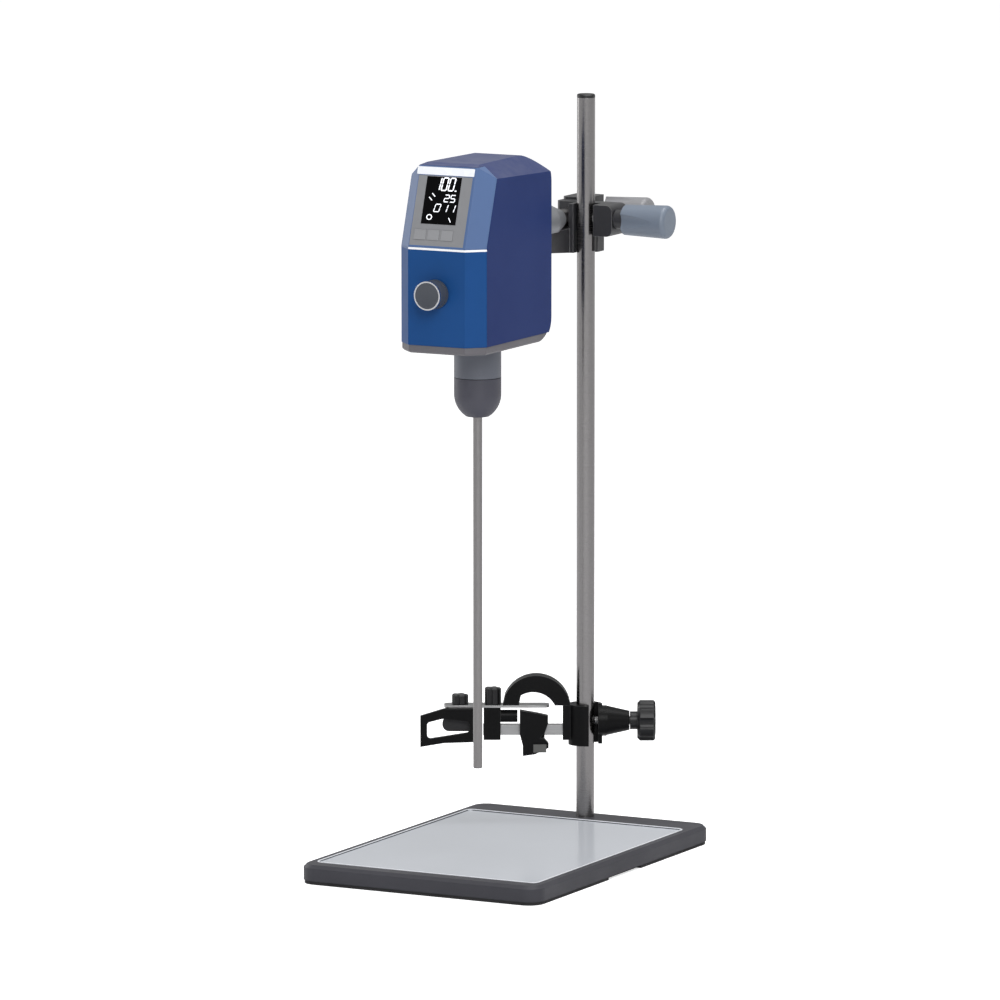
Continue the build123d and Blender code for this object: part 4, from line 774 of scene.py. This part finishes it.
class STIRRER_OT_boss(bpy.types.Operator):
    """Finishes of the boss head, the arm and the clamping knobs"""

    bl_idname = "stirrer.boss"
    bl_label = "Boss head finishes"

    def execute(self, context):
        c = colours()
        dress(surface("boss black", "Cast skin", c.cast, roughness=(0.38, 0.5), scale=1500.0, bump=0.25,
                      edge=0.0008, wear=0.25, dust_and_sheen=0.1),
              "boss_head")
        # The near knob's inner end is a dark hub
        hub_length = 0.009
        hub_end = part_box("column_knob")[0].x + hub_length
        dress(surface("near knob blue-grey", "Moulded grain", c.near_knob, roughness=(0.36, 0.46),
                      scale=1300.0, bump=0.12, shade=0.92, edge=0.0008, band=(hub_end, c.cast)),
              "column_knob")
        dress(surface("far knob grey", "Moulded grain", c.far_knob, roughness=(0.36, 0.46), scale=1300.0,
                      bump=0.12, shade=0.92, edge=0.0008),
              "arm_knob")
        dress(surface("sleeve alloy", "Ground metal", c.arm_sleeve, roughness=(0.38, 0.5), scale=120.0,
                      bump=0.06, shade=0.92, metallic=0.6, edge=0.0005),
              "arm_sleeve")
        dress(surface("arm steel", "Ground metal", c.steel, roughness=(0.24, 0.32), scale=20.0, bump=0.01,
                      shade=0.96, metallic=1.0, stretch=GROUND_LEVEL, edge=0.0003),
              "arm_rod")
        dress(surface("screw steel", "Ground metal", c.zinc, roughness=(0.25, 0.38), scale=150.0, bump=0.05,
                      shade=0.88, metallic=1.0, edge=0.0002),
              "column_screw", "arm_screw")
        dress(surface("liner black", "Moulded grain", c.black_plastic, roughness=(0.45, 0.55), scale=1500.0,
                      bump=0.1),
              "column_liner", "clamp_liner")
        return {"FINISHED"}


class STIRRER_OT_vessel_clamp(bpy.types.Operator):
    """Finishes of the vessel clamp"""

    bl_idname = "stirrer.vessel_clamp"
    bl_label = "Vessel clamp finishes"

    def execute(self, context):
        c = colours()
        dress(surface("clamp black", "Cast skin", c.clamp_black, roughness=(0.34, 0.46), scale=1500.0,
                      bump=0.3, edge=0.0008, wear=0.08, dust_and_sheen=0.02, specular=0.12),
              "clamp_boss", "fork_jaw", "hook_jaw", "spacer_block")
        dress(surface("strip steel", "Ground metal", c.zinc, roughness=(0.28, 0.4), scale=80.0, bump=0.06,
                      shade=0.88, metallic=1.0, stretch=(1.0, 1.0, 12.0), edge=0.0003),
              "clamp_strip", "guide_bar")
        dress(surface("star knob black", "Moulded grain", c.black_plastic, roughness=(0.3, 0.42),
                      scale=1300.0, bump=0.12, shade=0.88, edge=0.0006, wear=0.1, specular=0.35),
              "clamp_knob", "wing_screw_fork", "wing_screw_strip")
        dress(surface("pad rubber", "Cast skin", c.pad, roughness=(0.7, 0.8), scale=900.0, bump=0.2),
              "hook_pad")
        dress(surface("fork pad rubber", "Cast skin", c.rubber, roughness=(0.7, 0.8), scale=900.0, bump=0.2),
              "fork_pad")
        return {"FINISHED"}


# The way from the column to the clamp's jaws, round from the X axis. Screw and star knob lie opposite.
CLAMP_SWING = math.radians(207.45)


def clamp_axes():
    """The way along the clamp's screw from the column to the knob, the level way across it, and up."""
    axis = -np.array([math.cos(CLAMP_SWING), math.sin(CLAMP_SWING), 0.0])
    return axis, np.array([-axis[1], axis[0], 0.0]), np.array([0.0, 0.0, 1.0])


class STIRRER_OT_clamp_thread(bpy.types.Operator):
    """The threaded screw of the vessel clamp"""

    bl_idname = "stirrer.clamp_thread"
    bl_label = "Clamp screw thread"

    def execute(self, context):
        s = sizes()
        rings_per_pitch, end_taper = 10, 0.0012
        flank_slope, groove_floor = 1.6, 0.3
        low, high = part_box("clamp_screw")
        axes = clamp_axes()
        axis = axes[0]
        radius = (high.z - low.z) / 2
        # The box reaches as far in X as the slanting axis does, and past it by the round ends
        span = (high.x - low.x - 2 * radius * abs(axis[1])) / abs(axis[0])
        steps = studio().thread_steps
        turn = np.linspace(0, 2 * math.pi, steps, endpoint=False)
        reach = np.linspace(-span / 2, span / 2, int(span / s.thread_pitch * rings_per_pitch))
        along, angle = np.meshgrid(reach, turn, indexing="ij")
        # The phase is the way along the axis over the pitch, less the angle over a full turn. The radius is
        # full where the phase is near 0 or 1 and falls by the depth, on even flanks, where it is near a half.
        # At each end of the screw it falls by the depth once more.
        phase = (along / s.thread_pitch - angle / (2 * math.pi)) % 1.0
        crest = np.clip(flank_slope * np.abs(2 * phase - 1) - groove_floor, 0, 1)
        taper = np.clip((span / 2 - np.abs(along)) / end_taper, 0, 1)
        thread_radius = radius - s.thread_depth * (1 - crest) - (1 - taper) * s.thread_depth
        rings = circles(np.array((low + high) / 2), axes, along, thread_radius, angle)
        steel = surface("thread steel", "Ground metal", colours().zinc, roughness=(0.22, 0.34), scale=150.0,
                        bump=0.03, shade=0.9, metallic=1.0)
        screw = put_mesh("clamp_screw_thread", rings.reshape(-1, 3), sheath_faces(len(reach), steps), steel,
                         "clamp_screw_body", smooth=True)
        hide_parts("clamp_screw")
        return {"FINISHED"}


class STIRRER_OT_knob_disc(bpy.types.Operator):
    """The grey disc in the end of the star knob"""

    bl_idname = "stirrer.knob_disc"
    bl_label = "Star knob disc"

    def execute(self, context):
        column_low, column_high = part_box("column")
        knob_low, knob_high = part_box("clamp_knob")
        centre = np.array([(column_low.x + column_high.x) / 2, (column_low.y + column_high.y) / 2,
                           (knob_low.z + knob_high.z) / 2])
        knob_end = 0.0620
        # The way out past the knob's end and the radius, from the sunk back round to the flat middle
        profile = np.array([(-0.0005, 0.0128), (0.0, 0.0128), (0.0002, 0.0125), (0.0002, 0.0108),
                            (0.00005, 0.0100), (0.0, 0.0001)])
        turn = np.linspace(0, 2 * math.pi, 48, endpoint=False)
        rings = circles(centre, clamp_axes(), knob_end + profile[:, :1], profile[:, 1:], turn)
        grey = surface("disc grey", "Moulded grain", colours().disc, roughness=(0.35, 0.45), scale=1300.0,
                       bump=0.1, shade=0.9)
        put_mesh("star_knob_disc", rings.reshape(-1, 3), sheath_faces(*rings.shape[:2]), grey,
                 "clamp_knob_body")
        return {"FINISHED"}


class STIRRER_OT_inlet_pins(bpy.types.Operator):
    """Brass on the three pins of the mains inlet"""

    bl_idname = "stirrer.inlet_pins"
    bl_label = "Inlet pins"

    def execute(self, context):
        inlet_z = 0.484
        half_width, half_height, corner = 0.00108, 0.00208, 0.0003
        # Each pin's place from the inlet's middle, across and up
        places = ((-0.007, -0.002), (0.0, 0.0025), (0.007, -0.002))
        # A pin along its length: the place on Y, and the share of the full width and height
        section = ((0.0262, 1.0), (0.0374, 1.0), (0.0381, 0.8))
        groups = []
        for dx, dz in places:
            x, z = HEAD_X + dx, inlet_z + dz
            outline = rounded_outline(x - half_width, x + half_width, z - half_height, z + half_height,
                                      corner, steps=3)
            middle = outline.mean(axis=0)
            rings = []
            for y, share in section:
                ring = middle + (outline - middle) * share
                rings.append(np.column_stack([ring[:, 0], np.full(len(ring), y), ring[:, 1]]))
            groups.append(np.stack(rings))
        points, faces = stack_rings(groups)
        brass = surface("pin brass", "Ground metal", colours().brass, roughness=(0.2, 0.3), scale=150.0,
                        bump=0.03, shade=0.9, metallic=1.0)
        put_mesh("inlet_pins", points, faces, brass, "head")
        return {"FINISHED"}


def seen_directly(tree):
    """The light path node of a shader, and a value that is 1 for what the camera sees, also through glass."""
    paths = add(tree, "ShaderNodeLightPath")
    seen = add(tree, "ShaderNodeMath", operation="MAXIMUM")
    tree.links.new(paths.outputs["Is Camera Ray"], seen.inputs[0])
    tree.links.new(paths.outputs["Is Transmission Ray"], seen.inputs[1])
    return paths, seen.outputs["Value"]


class STIRRER_OT_stage(bpy.types.Operator):
    """Floor, lights, room and camera"""

    bl_idname = "stirrer.stage"
    bl_label = "Stage"

    def execute(self, context):
        self.floor()
        self.room()
        self.lights()
        self.camera()
        return {"FINISHED"}

    def floor(self):
        """A wide white floor: lit paint that keeps the shadow, lifted to white for what the camera sees, and
        brighter far out in reflections, as a lit sweep is."""
        half = studio().floor_size / 2
        camera_lift, sweep_start, sweep_end = 0.66, 0.8, 4.0
        corners = np.array([[-half, -half, 0], [half, -half, 0], [half, half, 0], [-half, half, 0]])
        material = bpy.data.materials.new("studio floor")
        material.use_nodes = True
        tree = material.node_tree
        shader = tree.nodes["Principled BSDF"]
        shader.inputs["Base Color"].default_value = (0.86, 0.86, 0.87, 1.0)
        shader.inputs["Roughness"].default_value = 0.9
        shader.inputs["Specular IOR Level"].default_value = 0.1
        shader.inputs["Emission Color"].default_value = (1.0, 1.0, 1.0, 1.0)
        paths, seen = seen_directly(tree)
        lift = add(tree, "ShaderNodeMath", {1: camera_lift}, operation="MULTIPLY")
        tree.links.new(seen, lift.inputs[0])
        place = add(tree, "ShaderNodeTexCoord")
        far = add(tree, "ShaderNodeVectorMath", operation="LENGTH")
        tree.links.new(place.outputs["Object"], far.inputs[0])
        sweep = add(tree, "ShaderNodeMapRange", {"From Min": sweep_start, "From Max": sweep_end,
                                                 "To Max": studio().sweep_light})
        tree.links.new(far.outputs["Value"], sweep.inputs["Value"])
        mirrored = add(tree, "ShaderNodeMath", operation="MULTIPLY")
        tree.links.new(paths.outputs["Is Glossy Ray"], mirrored.inputs[0])
        tree.links.new(sweep.outputs["Result"], mirrored.inputs[1])
        glow = add(tree, "ShaderNodeMath", operation="MAXIMUM")
        tree.links.new(lift.outputs["Value"], glow.inputs[0])
        tree.links.new(mirrored.outputs["Value"], glow.inputs[1])
        tree.links.new(glow.outputs["Value"], shader.inputs["Emission Strength"])
        floor = put_mesh("studio_floor", corners, [[0, 1, 2, 3]], material, None)

    def room(self):
        """Even light all round; plain white behind the object for what the camera sees."""
        world = bpy.data.worlds.new("studio room")
        bpy.context.scene.world = world
        world.use_nodes = True
        tree = world.node_tree
        background = tree.nodes["Background"]
        background.inputs["Color"].default_value = (1.0, 1.0, 1.0, 1.0)
        seen = seen_directly(tree)[1]
        level = add(tree, "ShaderNodeMapRange", {"To Min": studio().room_light, "To Max": 1.0})
        tree.links.new(seen, level.inputs["Value"])
        tree.links.new(level.outputs["Result"], background.inputs["Strength"])

    def lights(self):
        """Three round soft boxes, in front, to the left and above, all turned to the stirrer's middle."""
        s = studio()
        target = Vector((0.0, 0.0, 0.35))
        for name, place, size, power in (
            ("key_light", (1.5, -2.2, 1.9), 1.6, s.key_power),
            ("fill_light", (-2.4, 0.2, 1.0), 1.4, s.fill_power),
            ("top_light", (0.3, 0.3, 2.6), 1.8, s.top_power),
        ):
            lamp = bpy.data.lights.new(name, "AREA")
            lamp.shape = "DISK"
            lamp.size = size
            lamp.energy = power
            holder = bpy.data.objects.new(name, lamp)
            bpy.context.scene.collection.objects.link(holder)
            holder.location = place
            holder.rotation_mode = "QUATERNION"
            holder.rotation_quaternion = (target - Vector(place)).to_track_quat("-Z", "Y")

    def camera(self):
        """The camera at the photograph's angle: it looks at a point on the stand's middle line, and the shift
        moves the picture to the photograph's framing."""
        s = studio()
        a, e = s.azimuth, s.elevation
        aim = Vector((0.0, 0.0, 0.330))
        back = Vector((math.sin(a) * math.cos(e), -math.cos(a) * math.cos(e), math.sin(e)))
        data = bpy.data.cameras.new("photo_camera")
        data.sensor_width = 36.0
        data.lens = s.focal_length
        data.shift_x = -0.0072
        data.shift_y = -0.0116
        data.clip_start = 0.1
        data.clip_end = 200.0
        camera = bpy.data.objects.new("photo_camera", data)
        bpy.context.scene.collection.objects.link(camera)
        camera.location = aim + back * s.distance
        camera.rotation_mode = "QUATERNION"
        camera.rotation_quaternion = back.to_track_quat("Z", "Y")
        bpy.context.scene.camera = camera


OPERATORS = (
    STIRRER_OT_stand,
    STIRRER_OT_highlight_lip,
    STIRRER_OT_head,
    STIRRER_OT_display,
    STIRRER_OT_label,
    STIRRER_OT_chuck,
    STIRRER_OT_boss,
    STIRRER_OT_vessel_clamp,
    STIRRER_OT_clamp_thread,
    STIRRER_OT_knob_disc,
    STIRRER_OT_inlet_pins,
    STIRRER_OT_stage,
)


class STIRRER_PT_sidebar(bpy.types.Panel):
    """Lists the stirrer's pieces and settings"""

    bl_idname = "STIRRER_PT_sidebar"
    bl_label = "Overhead stirrer"
    bl_space_type = "VIEW_3D"
    bl_region_type = "UI"
    bl_category = "Stirrer"

    def draw(self, context):
        for operator in OPERATORS:
            self.layout.operator(operator.bl_idname)
        for group in (colours(), sizes(), studio()):
            box = self.layout.box()
            for key in group.__annotations__:
                box.prop(group, key)


GROUPS = (
    (StirrerColours, "stirrer_colours"),
    (StirrerSizes, "stirrer_sizes"),
    (StageSettings, "stirrer_stage"),
)


def register():
    """Registers settings, operators and panel."""
    for group, name in GROUPS:
        bpy.utils.register_class(group)
        setattr(bpy.types.Scene, name, PointerProperty(type=group))
    for operator in OPERATORS:
        bpy.utils.register_class(operator)
    bpy.utils.register_class(STIRRER_PT_sidebar)


def unregister():
    """Takes them away again."""
    bpy.utils.unregister_class(STIRRER_PT_sidebar)
    for operator in reversed(OPERATORS):
        bpy.utils.unregister_class(operator)
    for group, name in reversed(GROUPS):
        delattr(bpy.types.Scene, name)
        bpy.utils.unregister_class(group)


def run_operators():
    """Calls each operator in turn."""
    for operator in OPERATORS:
        space, name = operator.bl_idname.split(".")
        getattr(getattr(bpy.ops, space), name)()


def main():
    """Builds the scene."""
    register()
    bpy.context.scene.view_settings.view_transform = "Standard"
    run_operators()


if __name__ == "__main__":
    main()
